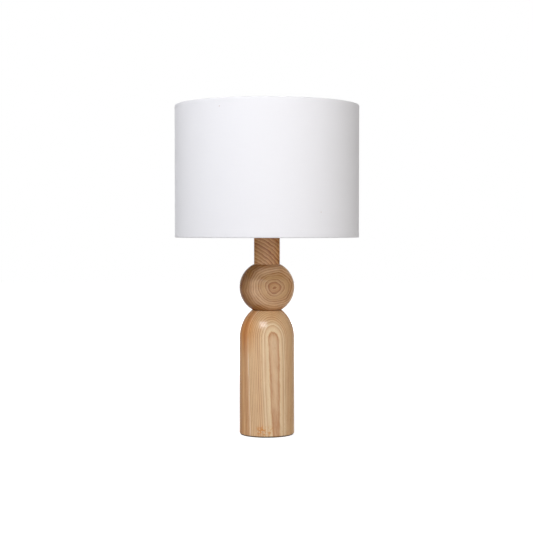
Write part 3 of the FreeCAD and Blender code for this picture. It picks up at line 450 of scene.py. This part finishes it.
# %% Pine for the neck
*_, neck_pine = pine(
    "pine_neck_satin_lacquer", pith=(-54, 0, 278), lines=(60, 66.2),
    tones=((58, "#E0B07A"), (80, "#CE9C64"), (95, "#C48E54"), (104, "#D49E62"), (122, "#C48C50"),
           (132, "#B88246")),
    late="#B4824A", bends=((20, 60, 6.0), (7, 40, 2.4)), rise=0.4, faint=0.7, seed=5.0)


# %% Put the wood on its pieces
def finish_nodes(material, *names):
    """Give CAD nodes a finish."""
    for name in names:
        nodes[name].data.materials.clear()
        nodes[name].data.materials.append(material)
    print(material.name, "on", ", ".join(names))


finish_nodes(column_pine, "base_column")
finish_nodes(ball_pine, "ball")
finish_nodes(neck_pine, "neck_column")

# %% [markdown]
# ## Meshes made by turning a profile
#
# The cloth of the drum, its rolled hems and the felt foot are all round, so each is a profile that
# goes once round the lamp's axis. A perfectly round mesh looks like plastic. So a small function
# says how far to move each point out or up, and seeded noise makes the cloth slightly uneven, the
# same on every run.

# %% Turned meshes
ARC_STEPS = 6
END_STEP = 0.1  # mm; a short last step keeps smooth shading from spilling over a sharp edge
SHADE_RADIUS = round((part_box("top_hem")[1].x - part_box("top_hem")[0].x) / 2 / MM, 1)
SHADE_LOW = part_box("bottom_hem")[0].z / MM
SHADE_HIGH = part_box("top_hem")[1].z / MM


def loft(name, rings, closed, material):
    """A mesh object through rings of points in metres; if it isn't closed, its ends are filled."""
    count = len(rings[0])
    faces = []
    for i in range(len(rings) if closed else len(rings) - 1):
        for j in range(count):
            here, there = i * count, (i + 1) % len(rings) * count
            faces.append((here + j, there + j, there + (j + 1) % count, here + (j + 1) % count))
    if not closed:
        faces.append(tuple(range(count)))
        faces.append(tuple(reversed(range((len(rings) - 1) * count, len(rings) * count))))
    mesh = bpy.data.meshes.new(name)
    mesh.from_pydata([point for ring in rings for point in ring], [], faces)
    shell = bmesh.new()
    shell.from_mesh(mesh)
    bmesh.ops.recalc_face_normals(shell, faces=shell.faces)
    shell.to_mesh(mesh)
    shell.free()
    mesh.shade_smooth()
    mesh.materials.append(material)
    piece = bpy.data.objects.new(name, mesh)
    scene.collection.objects.link(piece)
    return piece


def full_turn(steps):
    """Angles of a whole turn."""
    return [2 * math.pi * i / steps for i in range(steps)]


def moved(shift, turn, radius, height):
    """A profile's point in metres, at an angle from the front.

    shift(turn, radius, height) gives how far the point moves out and up, in mm.
    """
    out, up = shift(turn, radius, height)
    return (math.sin(turn) * (radius + out) * MM, -math.cos(turn) * (radius + out) * MM,
            (height + up) * MM)


def turned(name, profile, turns, shift, material, closed=True):
    """Turn a closed profile of (radius, height) in mm through a list of angles."""
    return loft(name, [[moved(shift, turn, *point) for point in profile] for turn in turns],
                closed, material)


def spun(name, section, steps, shift, material):
    """Spin an open section of (radius, height) in mm, from the bottom of the axis to its top."""
    return loft(name, [[moved(shift, turn, *point) for turn in full_turn(steps)]
                       for point in section], False, material)


def rounded(corners):
    """Profile corners as (radius, height, round); each corner with a round becomes an arc in mm."""
    points = []
    for i, (radius, height, bend) in enumerate(corners):
        corner = Vector((radius, height))
        if not bend:
            points.append(tuple(corner))
            continue
        back = (Vector(corners[i - 1][:2]) - corner).normalized()
        ahead = (Vector(corners[(i + 1) % len(corners)][:2]) - corner).normalized()
        half_angle = back.angle(ahead) / 2
        reach = bend / math.tan(half_angle)
        middle = corner + (back + ahead).normalized() * bend / math.sin(half_angle)
        start, end = corner + back * reach - middle, corner + ahead * reach - middle
        sweep = start.angle_signed(end)
        for step in range(ARC_STEPS + 1):
            turn = -sweep * step / ARC_STEPS
            points.append((middle.x + start.x * math.cos(turn) - start.y * math.sin(turn),
                           middle.y + start.x * math.sin(turn) + start.y * math.cos(turn)))
    return points


def uneven(turn, height, size, swing, seed):
    """Seeded smooth noise on the drum; size is its grain in mm."""
    around = SHADE_RADIUS / size
    place = Vector((math.sin(turn) * around, math.cos(turn) * around, height / size + seed))
    return noise.noise(place) * swing


print("drum radius", SHADE_RADIUS, "mm, height", round(SHADE_HIGH - SHADE_LOW, 1), "mm")

# %% [markdown]
# ## Shade cloth
#
# The drum is a fine linen and cotton plain weave, glued to a stiff white sheet. Each thread goes
# over one and under the next. Linen threads swell here and there into slubs, and that is what the
# eye reads as cloth from further off: faint, mostly level streaks. Their lighter white is painted
# light, and so is the shaded white in the hollows between threads. The weave is drawn from two sine
# waves, one for each way, that take turns in being on top. For that the shader works out how far
# round the drum each point lies.


# %% Woven linen
def round_the_drum(tree):
    """Each point as millimetres round the drum from the front, and millimetres up."""
    place = add(tree, "ShaderNodeTexCoord").outputs["Object"]
    x, y, z = add(tree, "ShaderNodeSeparateXYZ", {0: place}).outputs
    front = add(tree, "ShaderNodeMath", {0: y, 1: -1.0}, operation="MULTIPLY")
    angle = add(tree, "ShaderNodeMath", {0: x, 1: front}, operation="ARCTAN2")
    return add(tree, "ShaderNodeVectorMath", {
        0: add(tree, "ShaderNodeCombineXYZ", {0: angle, 1: z}),
        1: (SHADE_RADIUS, 1 / MM, 0)}, operation="MULTIPLY")


# where husks show, in mm round from the front and up from the table
HUSKS = ((-90, 619.5), (104.5, 428), (318, 560), (-405, 455), (496, 590))
HUSK_WIDE, HUSK_HIGH = 1.1, 0.8  # mm from its middle


def linen(name, thread, white, shade, slub_show):
    """Plain weave: thread spacing in mm, lit and shaded hex white, and how far the slubs show."""
    material, tree, shader = new_finish(name, Sheen_Weight=0.12, Sheen_Roughness=0.5,
                                        Specular_IOR_Level=0.25)
    place = round_the_drum(tree)
    wander = sized_noise(tree, place, (20, 20, 20)).outputs["Color"]
    wander = add(tree, "ShaderNodeVectorMath", {0: wander, 1: (0.5, 0.5, 0.5)},
                 operation="SUBTRACT")
    bent = add(tree, "ShaderNodeVectorMath", {0: wander, 1: (1.2, 1.2, 0), 2: place},
               operation="MULTIPLY_ADD")
    count = add(tree, "ShaderNodeVectorMath", {0: bent, 1: (1 / thread, 1 / thread, 0)},
                operation="MULTIPLY")
    u, v, _ = add(tree, "ShaderNodeSeparateXYZ", {0: count}).outputs
    waves, tops = [], []
    for way in (u, v):
        angle = add(tree, "ShaderNodeMath", {0: way, 1: math.pi}, operation="MULTIPLY")
        tops.append(add(tree, "ShaderNodeMath", {0: angle}, operation="SINE"))
        waves.append(add(tree, "ShaderNodeMath", {0: tops[-1]}, operation="ABSOLUTE"))
    over = add(tree, "ShaderNodeMath", {0: tops[0], 1: tops[1]}, operation="MULTIPLY")
    turns = add(tree, "ShaderNodeMapRange", {"Value": over, "From Min": -0.3, "From Max": 0.3})
    weave = add(tree, "ShaderNodeMix", {0: turns, 2: waves[0], 3: waves[1]})

    slubs = []
    for long, high in ((34, 2.2), (2.2, 46)):
        field = sized_noise(tree, place, (long, high, 1))
        slubs.append(add(tree, "ShaderNodeMapRange", {
            "Value": field, "From Min": 0.35, "From Max": 0.75}))
    slub = add(tree, "ShaderNodeMix", {0: 0.35, 2: slubs[0], 3: slubs[1]})
    # painted light and shade: thread crowns and slubs take the lit white, the hollows between
    # threads the shaded white
    depth = add(tree, "ShaderNodeMath", {0: weave, 1: 0.35}, operation="MULTIPLY")
    depth = add(tree, "ShaderNodeMath", {0: slub, 1: slub_show, 2: depth},
                operation="MULTIPLY_ADD")
    colour = add(tree, "ShaderNodeMix", {0: depth, COLOUR_A: shade, COLOUR_B: white},
                 data_type="RGBA")

    # a few flecks of husk that the spinner left in
    bare = 1.0
    for spot in HUSKS:
        offset = add(tree, "ShaderNodeVectorMath", {0: place, 1: (*spot, 0)}, operation="SUBTRACT")
        oval = add(tree, "ShaderNodeVectorMath", {0: offset, 1: (1 / HUSK_WIDE, 1 / HUSK_HIGH, 0)},
                   operation="MULTIPLY")
        reach = add(tree, "ShaderNodeVectorMath", {0: oval}, operation="LENGTH").outputs["Value"]
        away = add(tree, "ShaderNodeMapRange", {"Value": reach, "From Min": 0.4})
        bare = add(tree, "ShaderNodeMath", {0: bare, 1: away}, operation="MULTIPLY")
    colour = add(tree, "ShaderNodeMix", {
        0: bare, COLOUR_A: "#B08A6C", COLOUR_B: colour.outputs[MIXED]}, data_type="RGBA")
    rough = add(tree, "ShaderNodeMapRange", {"Value": weave, "To Min": 0.95, "To Max": 0.82})
    height = add(tree, "ShaderNodeMath", {0: slub, 1: 0.2, 2: weave}, operation="MULTIPLY_ADD")
    bump = add(tree, "ShaderNodeBump", {"Height": height, "Strength": 0.35, "Distance": 0.12 * MM})
    plug(shader, {"Base Color": colour.outputs[MIXED], "Roughness": rough, "Normal": bump})
    return material


# the real weave has about 20 threads per centimetre; 0.9 mm is as fine as a close view can show
drum_linen = linen("linen_plain_weave_off_white", 0.9, "#F1F1F4", "#E7E7EA", 0.12)
print(drum_linen.name)

# %% [markdown]
# The cloth itself is a thin closed tube. At each end a hem, a strip of the same linen, is rolled
# over a wire ring. Its outer edge thins out, and the cloth comes up level with it so that no step
# shows. At the top it is slit where the three arms of the wire spider come out to the ring.

# %% Cloth tube
CLOTH_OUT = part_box("shade_fabric")[1].x / MM
CLOTH_THICK = 0.7
CLOTH_LOW, CLOTH_HIGH = (corner.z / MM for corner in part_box("shade_fabric"))
HEM_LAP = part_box("bottom_hem")[1].z / MM - SHADE_LOW
LAP_EDGE = 0.06  # mm of cloth left at the hem's free edge
HEM_BEND = 2.4  # mm outside radius of the hem's roll round the wire
CLOTH_SINK = 0.08  # mm that the cloth gives way under a hem or the seam
SWELL, SWELL_SIZE = 0.04, 45  # mm that the cloth bulges, and the size of a bulge
SWELL_START, SWELL_RISE = 4, 20  # mm from the hem's edge, and mm over which the bulges grow
SEAM_WIDE, SEAM_DIP = 12.0, 8.0  # mm, and mm beside the seam over which the cloth sinks under it
DRUM_STEPS, CLOTH_ROWS = 360, 64


def cloth_shift(turn, radius, height):
    """Under a hem or the seam the cloth lies deeper; elsewhere it is level with them and swells."""
    if radius < CLOTH_OUT - CLOTH_THICK / 2:
        return 0.0, 0.0
    edge = min(height - SHADE_LOW, SHADE_HIGH - height) - HEM_LAP
    swell = (min(max(edge - SWELL_START, 0) / SWELL_RISE, 1)
             * uneven(turn, height, SWELL_SIZE, SWELL, seed=3.0))
    beside = abs(turn - math.pi) * SHADE_RADIUS - SEAM_WIDE / 2
    level = min(max(1 + edge / (HEM_LAP - HEM_BEND), 0), 1) * min(max(beside / SEAM_DIP, 0), 1)
    return level * (SHADE_RADIUS - CLOTH_OUT - LAP_EDGE) + swell, 0.0


low, high = SHADE_LOW + HEM_LAP, SHADE_HIGH - HEM_LAP
cloth_rows = [CLOTH_LOW, SHADE_LOW + HEM_BEND,
              *(low + (high - low) * i / CLOTH_ROWS for i in range(CLOTH_ROWS + 1)),
              SHADE_HIGH - HEM_BEND, CLOTH_HIGH]
outside = [(CLOTH_OUT - CLOTH_SINK, height) for height in cloth_rows]
inside = [(CLOTH_OUT - CLOTH_THICK, height) for height in (CLOTH_HIGH, CLOTH_LOW)]
shade_cloth = turned("shade_cloth", outside + inside, full_turn(DRUM_STEPS), cloth_shift,
                     drum_linen)
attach(shade_cloth, "shade")
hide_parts("shade_fabric")
print("cloth tube with", len(shade_cloth.data.polygons), "faces")

# %% Rolled hems
HEM_THICK = 0.5
HEM_TUCK = 5.4
HEM_INSIDE = 171.8
HEM_CORNER, HEM_FOLD = 2.0, 0.2  # mm rounds of its outer edge and of its tucked end
HEM_WANDER, WANDER_SIZE = 0.4, 30  # mm that its free edge strays, and over how much cloth
ARM_SLIT, SLIT_STEP = 4.5, 0.0005  # mm wide, and the turn over which the hem drops at its sides
SLIT_ROLL, SLIT_DROP = 0.3, 0.99  # mm of roll left in a slit; less than 1, so no face is lost
ARM_TURNS = [math.radians(degrees) for degrees in (180, 60, 300)]  # from the front


def hem_profile(level, way):
    """The hem's section: way is 1 for the bottom edge and -1 for the top. The lap thins out."""
    corners = (
        (SHADE_RADIUS, HEM_LAP, 0), (SHADE_RADIUS, HEM_LAP - END_STEP, 0),
        (SHADE_RADIUS, 0, HEM_CORNER), (HEM_INSIDE, 0, HEM_BEND), (HEM_INSIDE, HEM_TUCK, HEM_FOLD),
        (HEM_INSIDE + HEM_THICK, HEM_TUCK, HEM_FOLD),
        (HEM_INSIDE + HEM_THICK, HEM_THICK, HEM_BEND - HEM_THICK),
        (SHADE_RADIUS - HEM_THICK, HEM_THICK, HEM_BEND - HEM_THICK),
        (SHADE_RADIUS - LAP_EDGE, HEM_LAP, 0))
    return rounded([(radius, level + way * depth, bend) for radius, depth, bend in corners])


def hem_shift(level, way, slits):
    """The hem lies a little unevenly, its free edge wanders, and it is cut away over the arms."""
    def shift(turn, radius, height):
        depth = (height - level) * way
        up = 0.0
        if radius > HEM_INSIDE + HEM_BEND:
            stray = uneven(turn, 0, WANDER_SIZE, HEM_WANDER, seed=7.0)
            up = way * stray * max(depth - HEM_BEND, 0) / (HEM_LAP - HEM_BEND)
        elif any(abs(turn - arm) < ARM_SLIT / 2 / radius for arm in slits):
            flap = HEM_THICK if depth >= HEM_THICK else SLIT_ROLL
            up = -way * max(depth - flap, 0) * SLIT_DROP
        return 0.0, up
    return shift


slit_edges = []
for arm in ARM_TURNS:
    for side in (-1, 1):
        edge = arm + side * ARM_SLIT / 2 / (HEM_INSIDE + HEM_BEND)
        slit_edges += [edge, edge + side * SLIT_STEP]
for name, node, level, way, slits in (("hem_top", "top_hem", SHADE_HIGH, -1, ARM_TURNS),
                                      ("hem_bottom", "bottom_hem", SHADE_LOW, 1, ())):
    turns = sorted(full_turn(DRUM_STEPS) + slit_edges) if slits else full_turn(DRUM_STEPS)
    hem = turned(name, hem_profile(level, way), turns, hem_shift(level, way, slits), drum_linen)
    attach(hem, "shade")
    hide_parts(node)
print("hems lap", round(HEM_LAP, 2), "mm outside and tuck", HEM_TUCK, "mm up the inside")

# %% Seam down the back
SEAM_EDGE, SEAM_THIN = 1.2, 0.35  # mm wide that its edge thins, and mm deep
SEAM_WAVE, WAVES, WAVE_LONG = 0.1, 40, 30  # mm deep, waves to a radian, and mm long
SEAM_LIFT = 0.02  # mm between the cloth's tube and the seam's inside
SEAM_ROWS, SEAM_STEPS = 48, 12
seam_low, seam_high = (corner.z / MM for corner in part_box("back_seam"))


def seam_shift(turn, radius, height):
    """The seam's folded edges thin out, and glue lets it wave a little."""
    side = (SEAM_WIDE / 2 - abs(turn - math.pi) * SHADE_RADIUS) / SEAM_EDGE
    thin = SEAM_THIN * (1 - min(side, 1)) ** 2
    wave = SEAM_WAVE * (1 + noise.noise(Vector((turn * WAVES, height / WAVE_LONG, 2.0)))) / 2
    return (-(thin + wave) if radius == SHADE_RADIUS else 0.0), 0.0


seam_rows = [seam_low + (seam_high - seam_low) * i / SEAM_ROWS for i in range(1, SEAM_ROWS)]
seam_rows = [seam_low, seam_low + END_STEP, *seam_rows, seam_high - END_STEP, seam_high]
seam_section = ([(SHADE_RADIUS, z) for z in seam_rows]
                + [(CLOTH_OUT + SEAM_LIFT, z) for z in reversed(seam_rows)])
seam_turns = [math.pi + SEAM_WIDE / SHADE_RADIUS * (i / SEAM_STEPS - 0.5)
              for i in range(SEAM_STEPS + 1)]
seam = turned("seam_back", seam_section, seam_turns, seam_shift, drum_linen, closed=False)
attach(seam, "shade")
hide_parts("back_seam")

# %% [markdown]
# ## Felt under the foot
#
# Felt is loose wool that was matted, not woven, so it has no threads. Its surface is a fuzz of
# fibres that lie every way, and its cut edge is soft. The disc is a spun profile whose rim is moved
# by noise, and the fibres are short stretched noise in two directions, with painted shade between
# them and painted light on top.

# %% Felt disc
felt, tree, shader = new_finish("felt_matted_wool_umber", Roughness=1.0, Sheen_Weight=0.35,
                                Sheen_Roughness=0.6, Specular_IOR_Level=0.2)
place = add(tree, "ShaderNodeTexCoord").outputs["Object"]
fibres = []
for turn in (0.4, 1.9):
    # wool fibres are 0.03 mm thick; 0.35 mm is as fine as a close view shows
    laid = add(tree, "ShaderNodeMapping", {
        "Vector": place, "Rotation": (0, 0, turn),
        "Scale": (1 / (0.35 * MM), 1 / (3 * MM), 1 / MM)})
    fibres.append(add(tree, "ShaderNodeTexNoise", {
        "Vector": laid, "Scale": 1.0, "Detail": 3.0, "Distortion": 0.6}))
matted = add(tree, "ShaderNodeMix", {0: 0.5, 2: fibres[0], 3: fibres[1]})
# painted shade and light: the colour darkens where the fibres lie low and pales where they stand up
tone = add(tree, "ShaderNodeValToRGB", {"Fac": matted}, stops=[
    (0.32, "#2A231D"), (0.55, "#4A3E34"), (0.7, "#6A5B4E")])
bump = add(tree, "ShaderNodeBump", {"Height": matted, "Strength": 0.6, "Distance": 0.25 * MM})
plug(shader, {"Base Color": tone, "Normal": bump})

FELT_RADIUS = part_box("felt_pad")[1].x / MM
FELT_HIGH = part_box("felt_pad")[1].z / MM
FELT_RAG, RAG_WIDE = 0.25, 1.2  # mm at most that its cut edge is ragged, and mm of rim it takes in
FELT_STEPS = 288


def felt_shift(turn, radius, height):
    """The cut edge of felt is ragged."""
    if radius < FELT_RADIUS - RAG_WIDE:
        return 0.0, 0.0
    place = Vector((math.sin(turn) * 40, math.cos(turn) * 40, height))
    return -abs(noise.noise(place)) * FELT_RAG, 0.0


flat = [0.3, 10, 20, 30, 40, 48, FELT_RADIUS - 1]
rim = [(-0.4, 0.0), (-0.1, 0.2), (0.0, 0.6), (0.0, 1.5), (-0.2, 1.9), (-0.6, 2.0)]
felt_section = ([(radius, 0) for radius in flat]
                + [(FELT_RADIUS + out, height) for out, height in rim]
                + [(radius, FELT_HIGH) for radius in reversed(flat)])
felt_disc = spun("felt_disc", felt_section, FELT_STEPS, felt_shift, felt)
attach(felt_disc, "base")
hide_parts("felt_pad")
print("felt", round(2 * FELT_RADIUS, 1), "mm wide and", round(FELT_HIGH, 1), "mm thick")

# %% [markdown]
# ## Metal: spun, plated, drawn and cast
#
# A metal's colour is the tint of what it reflects, and the tool that made it leaves fine marks that
# stretch the highlight. Spun brass has rings round its axis, drawn wire has lines along it, a cast
# weight is pitted all over. So one finish function takes two tints, two degrees of gloss and the
# size of a mark along each axis: long across and short up gives turning rings, for example. A slow
# cloud of noise mixes clean and handled places, because no plating stays even.


# %% Metal with working marks
def spots(tree, sizes, **more):
    """Noise on a piece with its grain size in mm along x, y and z."""
    place = add(tree, "ShaderNodeTexCoord").outputs["Object"]
    return sized_noise(tree, place, [size * MM for size in sizes], **more)


def metal(name, clean, handled, gloss, marks, dents=0.01, pitch=None):
    """A metal: two hex tints, roughness of both, size of its marks and their depth, in mm.

    pitch is the rise of a screw thread round the lamp's axis, in mm, for a part that stays hidden.
    """
    material, tree, shader = new_finish(name, Metallic=1.0)
    fine = spots(tree, marks)
    cloud = spots(tree, (9, 9, 9), detail=3, seed=4.0)
    tint = add(tree, "ShaderNodeValToRGB", {"Fac": cloud}, stops=[(0.36, handled), (0.6, clean)])
    both = add(tree, "ShaderNodeMath", {0: fine, 1: cloud})
    rough = add(tree, "ShaderNodeMapRange", {
        "Value": both, "From Min": 0.75, "From Max": 1.25, "To Min": gloss[1], "To Max": gloss[0]})
    bump = add(tree, "ShaderNodeBump", {"Height": fine, "Strength": 0.5, "Distance": dents * MM})
    if pitch:
        x, y, z = add(tree, "ShaderNodeSeparateXYZ", {
            0: add(tree, "ShaderNodeTexCoord").outputs["Object"]}).outputs
        angle = add(tree, "ShaderNodeMath", {0: y, 1: x}, operation="ARCTAN2")
        wave = add(tree, "ShaderNodeMath", {0: z, 1: 2 * math.pi / (pitch * MM), 2: angle},
                   operation="MULTIPLY_ADD")
        thread = add(tree, "ShaderNodeMath", {0: wave}, operation="SINE")
        bump = add(tree, "ShaderNodeBump", {
            "Height": thread, "Distance": 0.25 * MM, "Normal": bump})
    plug(shader, {"Base Color": tint, "Roughness": rough, "Normal": bump})
    return material


FINE_PITCH = 0.94  # mm a turn: 27 threads to the inch, on the pipe and the stud

# turning rings on brass are about 0.15 mm apart; 0.4 mm is as fine as a close view can show
finish_nodes(metal("brass_spun_satin_lacquer", "#D9B36C", "#C9A05C", (0.22, 0.36),
                   (300, 300, 0.4)), "neck_cap", "socket_cap", "socket_shell", "finial")
finish_nodes(metal("brass_stamped_bright", "#E3C78C", "#CBAA6C", (0.14, 0.26), (0.5, 12, 12)),
             "screw_shell", "centre_contact", "live_terminal_screw", "neutral_terminal_screw",
             "switch_shaft")
finish_nodes(metal("zinc_plated_steel", "#BEC3C7", "#A0A49C", (0.26, 0.42), (1.4, 1.4, 1.4)),
             "bottom_washer", "bottom_lock_washer", "bottom_nut", "top_nut", "harp_saddle",
             "cap_set_screw")
finish_nodes(metal("zinc_plated_steel_threaded", "#BEC3C7", "#9C9F96", (0.26, 0.42),
                   (1.4, 1.4, 1.4), pitch=FINE_PITCH), "lamp_pipe")
finish_nodes(metal("cast_iron_oiled", "#4A4A4C", "#2C2B2B", (0.42, 0.62), (1.3, 1.3, 1.3),
                   dents=0.25), "ballast_disc")
nickel = metal("nickel_plated_drawn_wire", "#C3C1BC", "#A29F99", (0.2, 0.34), (0.35, 0.35, 14))
finish_nodes(nickel, "harp_wire", "left_ferrule", "right_ferrule", "harp_block")
aluminium = metal("aluminium_rolled", "#D8DADC", "#BFC0C0", (0.2, 0.34), (200, 200, 0.5))
finish_nodes(aluminium, "bulb_tip_contact")

# %% [markdown]
# ## Screw threads
#
# Two threads can be seen: the bulb's, rolled into thin aluminium as soft round waves, and the one
# cut on the stud under the finial, with sharp ridges. A row of rings would look right from far off,
# but a thread climbs. So the mesh is a fine grid round the axis, and each point goes in by how far
# it lies from the crest that winds past it.


# %% Helical threads
def thread_depth(turn, height, pitch, depth, sharp):
    """How far in a right-hand thread lies at an angle and a height, in mm; 0 is its crest."""
    phase = (height / pitch - turn / (2 * math.pi)) % 1
    if sharp:
        return depth * min(1, 1.25 * (1 - abs(2 * phase - 1)))  # 1.25 leaves a flat root
    return depth * (0.5 - 0.5 * math.cos(2 * math.pi * phase))


STUD_THREAD = 0.5  # mm deep
low, high = (corner.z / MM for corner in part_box("harp_stud"))
STUD_LONG = 14.0  # mm above its disc
STUD_TIP, TIP_IN = 0.6, 0.7  # mm that its tip slopes, up and in
STUD_RADIUS, PIN_RADIUS = 3.1, 2.6
DISC_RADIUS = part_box("harp_stud")[1].x / MM
DISC_TOP, DISC_THICK = high - STUD_LONG, 2.0
BEVEL, CORE = 0.3, 0.2  # mm that edges are broken, and the radius of the innermost ring
THREAD_FADE = 1.2  # mm over which the thread starts
THREAD_ROWS, STUD_STEPS = 130, 72


def stud_shift(turn, radius, height):
    """Thread on the stud, fading out above the disc."""
    if height <= DISC_TOP or radius <= CORE:
        return 0.0, 0.0
    ease = min((height - DISC_TOP) / THREAD_FADE, 1)
    return -thread_depth(turn, height, FINE_PITCH, STUD_THREAD, True) * ease, 0.0


stud_section = [(CORE, low), (PIN_RADIUS - BEVEL, low), (PIN_RADIUS, low + BEVEL),
                (PIN_RADIUS, DISC_TOP - DISC_THICK), (DISC_RADIUS - BEVEL, DISC_TOP - DISC_THICK),
                (DISC_RADIUS, DISC_TOP - DISC_THICK + BEVEL), (DISC_RADIUS, DISC_TOP - BEVEL),
                (DISC_RADIUS - BEVEL, DISC_TOP)]
stud_section += [(STUD_RADIUS, DISC_TOP + (high - STUD_TIP - DISC_TOP) * i / THREAD_ROWS)
                 for i in range(THREAD_ROWS + 1)]
stud_section += [(STUD_RADIUS - TIP_IN, high), (CORE, high)]
stud = spun("stud_swivel", stud_section, STUD_STEPS, stud_shift, nickel)
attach(stud, "stud")
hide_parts("harp_stud")

CAP_PITCH, CAP_THREAD, CAP_WALL = 3.6, 0.5, 0.45
CAP_FADE = 2.5  # mm over which its thread runs out
CAP_ROWS, CAP_INNER_ROWS, CAP_STEPS = 80, 8, 120
low, high = (corner.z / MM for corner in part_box("bulb_screw_cap"))
CAP_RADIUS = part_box("bulb_screw_cap")[1].x / MM
PLAIN_LOW, PLAIN_HIGH = low + 0.8, high - 3.5  # the plain bands end here


def cap_shift(turn, radius, height):
    """Thread rolled into the cap; it runs out towards the plain bands at both ends."""
    if radius < CAP_RADIUS:
        return 0.0, 0.0
    ease = min(max(min(height - PLAIN_LOW, PLAIN_HIGH - height), 0) / CAP_FADE, 1)
    inward = thread_depth(turn, height, CAP_PITCH, CAP_THREAD, False)
    return -(CAP_THREAD - (CAP_THREAD - inward) * ease), 0.0


inner = CAP_RADIUS - CAP_THREAD - CAP_WALL
cap_profile = [(CAP_RADIUS, low + (high - low) * i / CAP_ROWS) for i in range(CAP_ROWS + 1)]
cap_profile += [(inner, high - (high - low) * i / CAP_INNER_ROWS)
                for i in range(CAP_INNER_ROWS + 1)]
bulb_cap = turned("bulb_cap_threaded", cap_profile, full_turn(CAP_STEPS), cap_shift, aluminium)
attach(bulb_cap, "bulb")
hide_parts("bulb_screw_cap")
print("stud thread", FINE_PITCH, "mm and bulb thread", CAP_PITCH, "mm a turn")

# %% [markdown]
# ## Plastics, fibre and powder coat
#
# A moulded part copies its mould: satin black where the steel was sparked, glossy where it was
# polished. Phenolic is resin with wood flour in it, so it is never one even brown. Vulcanised fibre
# is pressed paper. Powder coat is paint that flowed when it was baked, and it keeps a soft orange
# peel. All of them are a ground colour with a second one in spots, a roughness that follows the
# spots, and a fine relief.


# %% Materials with a ground and spots
SPOT_START, SPOT_END = 0.4, 0.65  # where the noise turns from ground to spot


def moulded(name, ground, spot, gloss, grain, relief):
    """Two hex colours, roughness of both, grain size along x, y, z and depth of relief in mm."""
    material, tree, shader = new_finish(name)
    grains = spots(tree, grain, detail=3)
    cloud = spots(tree, (12, 12, 12), seed=9.0)
    mixed = add(tree, "ShaderNodeMix", {0: 0.4, 2: grains, 3: cloud})
    tone = add(tree, "ShaderNodeValToRGB", {"Fac": mixed},
               stops=[(SPOT_START, ground), (SPOT_END, spot)])
    rough = add(tree, "ShaderNodeMapRange", {
        "Value": mixed, "From Min": SPOT_START, "From Max": SPOT_END,
        "To Min": gloss[0], "To Max": gloss[1]})
    bump = add(tree, "ShaderNodeBump", {"Height": grains, "Strength": 0.6, "Distance": relief * MM})
    plug(shader, {"Base Color": tone, "Roughness": rough, "Normal": bump})
    return material


for *look, pieces in (
        # spark erosion leaves pits of about 0.1 mm; 0.4 mm is as fine as a close view can show
        ("abs_black_spark_eroded", "#1B1B1C", "#262627", (0.42, 0.55), (0.4, 0.4, 0.4), 0.03,
         ["cord_bushing", "switch_knob"]),
        ("phenolic_moulded_dark_brown", "#2A1E18", "#3D2C22", (0.22, 0.38), (0.9, 0.9, 0.9), 0.01,
         ["socket_body", "switch_rotor"]),
        ("vulcanised_fibre_grey_brown", "#6E5645", "#8A6F5A", (0.7, 0.85), (2.2, 2.2, 0.5), 0.04,
         ["socket_liner"]),
        ("styrene_sheet_white_matt", "#E9E8E4", "#F1F0ED", (0.45, 0.6), (1.5, 1.5, 1.5), 0.01,
         ["shade_liner"]),
        ("powder_coat_white_satin", "#E8E7E3", "#F0EFEC", (0.3, 0.42), (0.9, 0.9, 0.9), 0.05,
         ["top_ring", "bottom_ring", "spider_hub", "spider_arm_back", "spider_arm_left",
          "spider_arm_right"]),
        ("glass_black_vitrite", "#0E0E10", "#17171B", (0.06, 0.14), (4, 4, 4), 0.03,
         ["bulb_insulator"])):
    finish_nodes(moulded(*look), *pieces)

# %% [markdown]
# ## Opal bulb
#
# An opal bulb is clear glass with white silica dusted on the inside. Unlit it looks like milk under
# a hard gloss: a soft white body that light spreads in, with a sharp clear coat. The powder is
# thinner towards the neck, where the glass turns greyer, and it never lies quite even.

# %% Opal glass
opal, tree, shader = new_finish("glass_opal_silica_coated", Subsurface_Weight=0.12,
                                Subsurface_Scale=2 * MM, Coat_Weight=1.0, Coat_Roughness=0.04)
low, high = (corner.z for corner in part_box("bulb_globe"))
height = add(tree, "ShaderNodeSeparateXYZ", {
    0: add(tree, "ShaderNodeTexCoord").outputs["Object"]}).outputs["Z"]
dust = spots(tree, (6, 6, 6), detail=3)
up = add(tree, "ShaderNodeMapRange", {"Value": height, "From Min": low, "From Max": high})
thick = add(tree, "ShaderNodeMath", {0: dust, 1: 0.12, 2: up}, operation="MULTIPLY_ADD")
white = add(tree, "ShaderNodeValToRGB", {"Fac": thick}, stops=[
    (0.04, "#C9CAC6"), (0.25, "#E9E8E3"), (0.6, "#F3F2EE")])
rough = add(tree, "ShaderNodeMapRange", {"Value": dust, "To Min": 0.45, "To Max": 0.6})
plug(shader, {"Base Color": white, "Roughness": rough})
finish_nodes(opal, "bulb_globe")
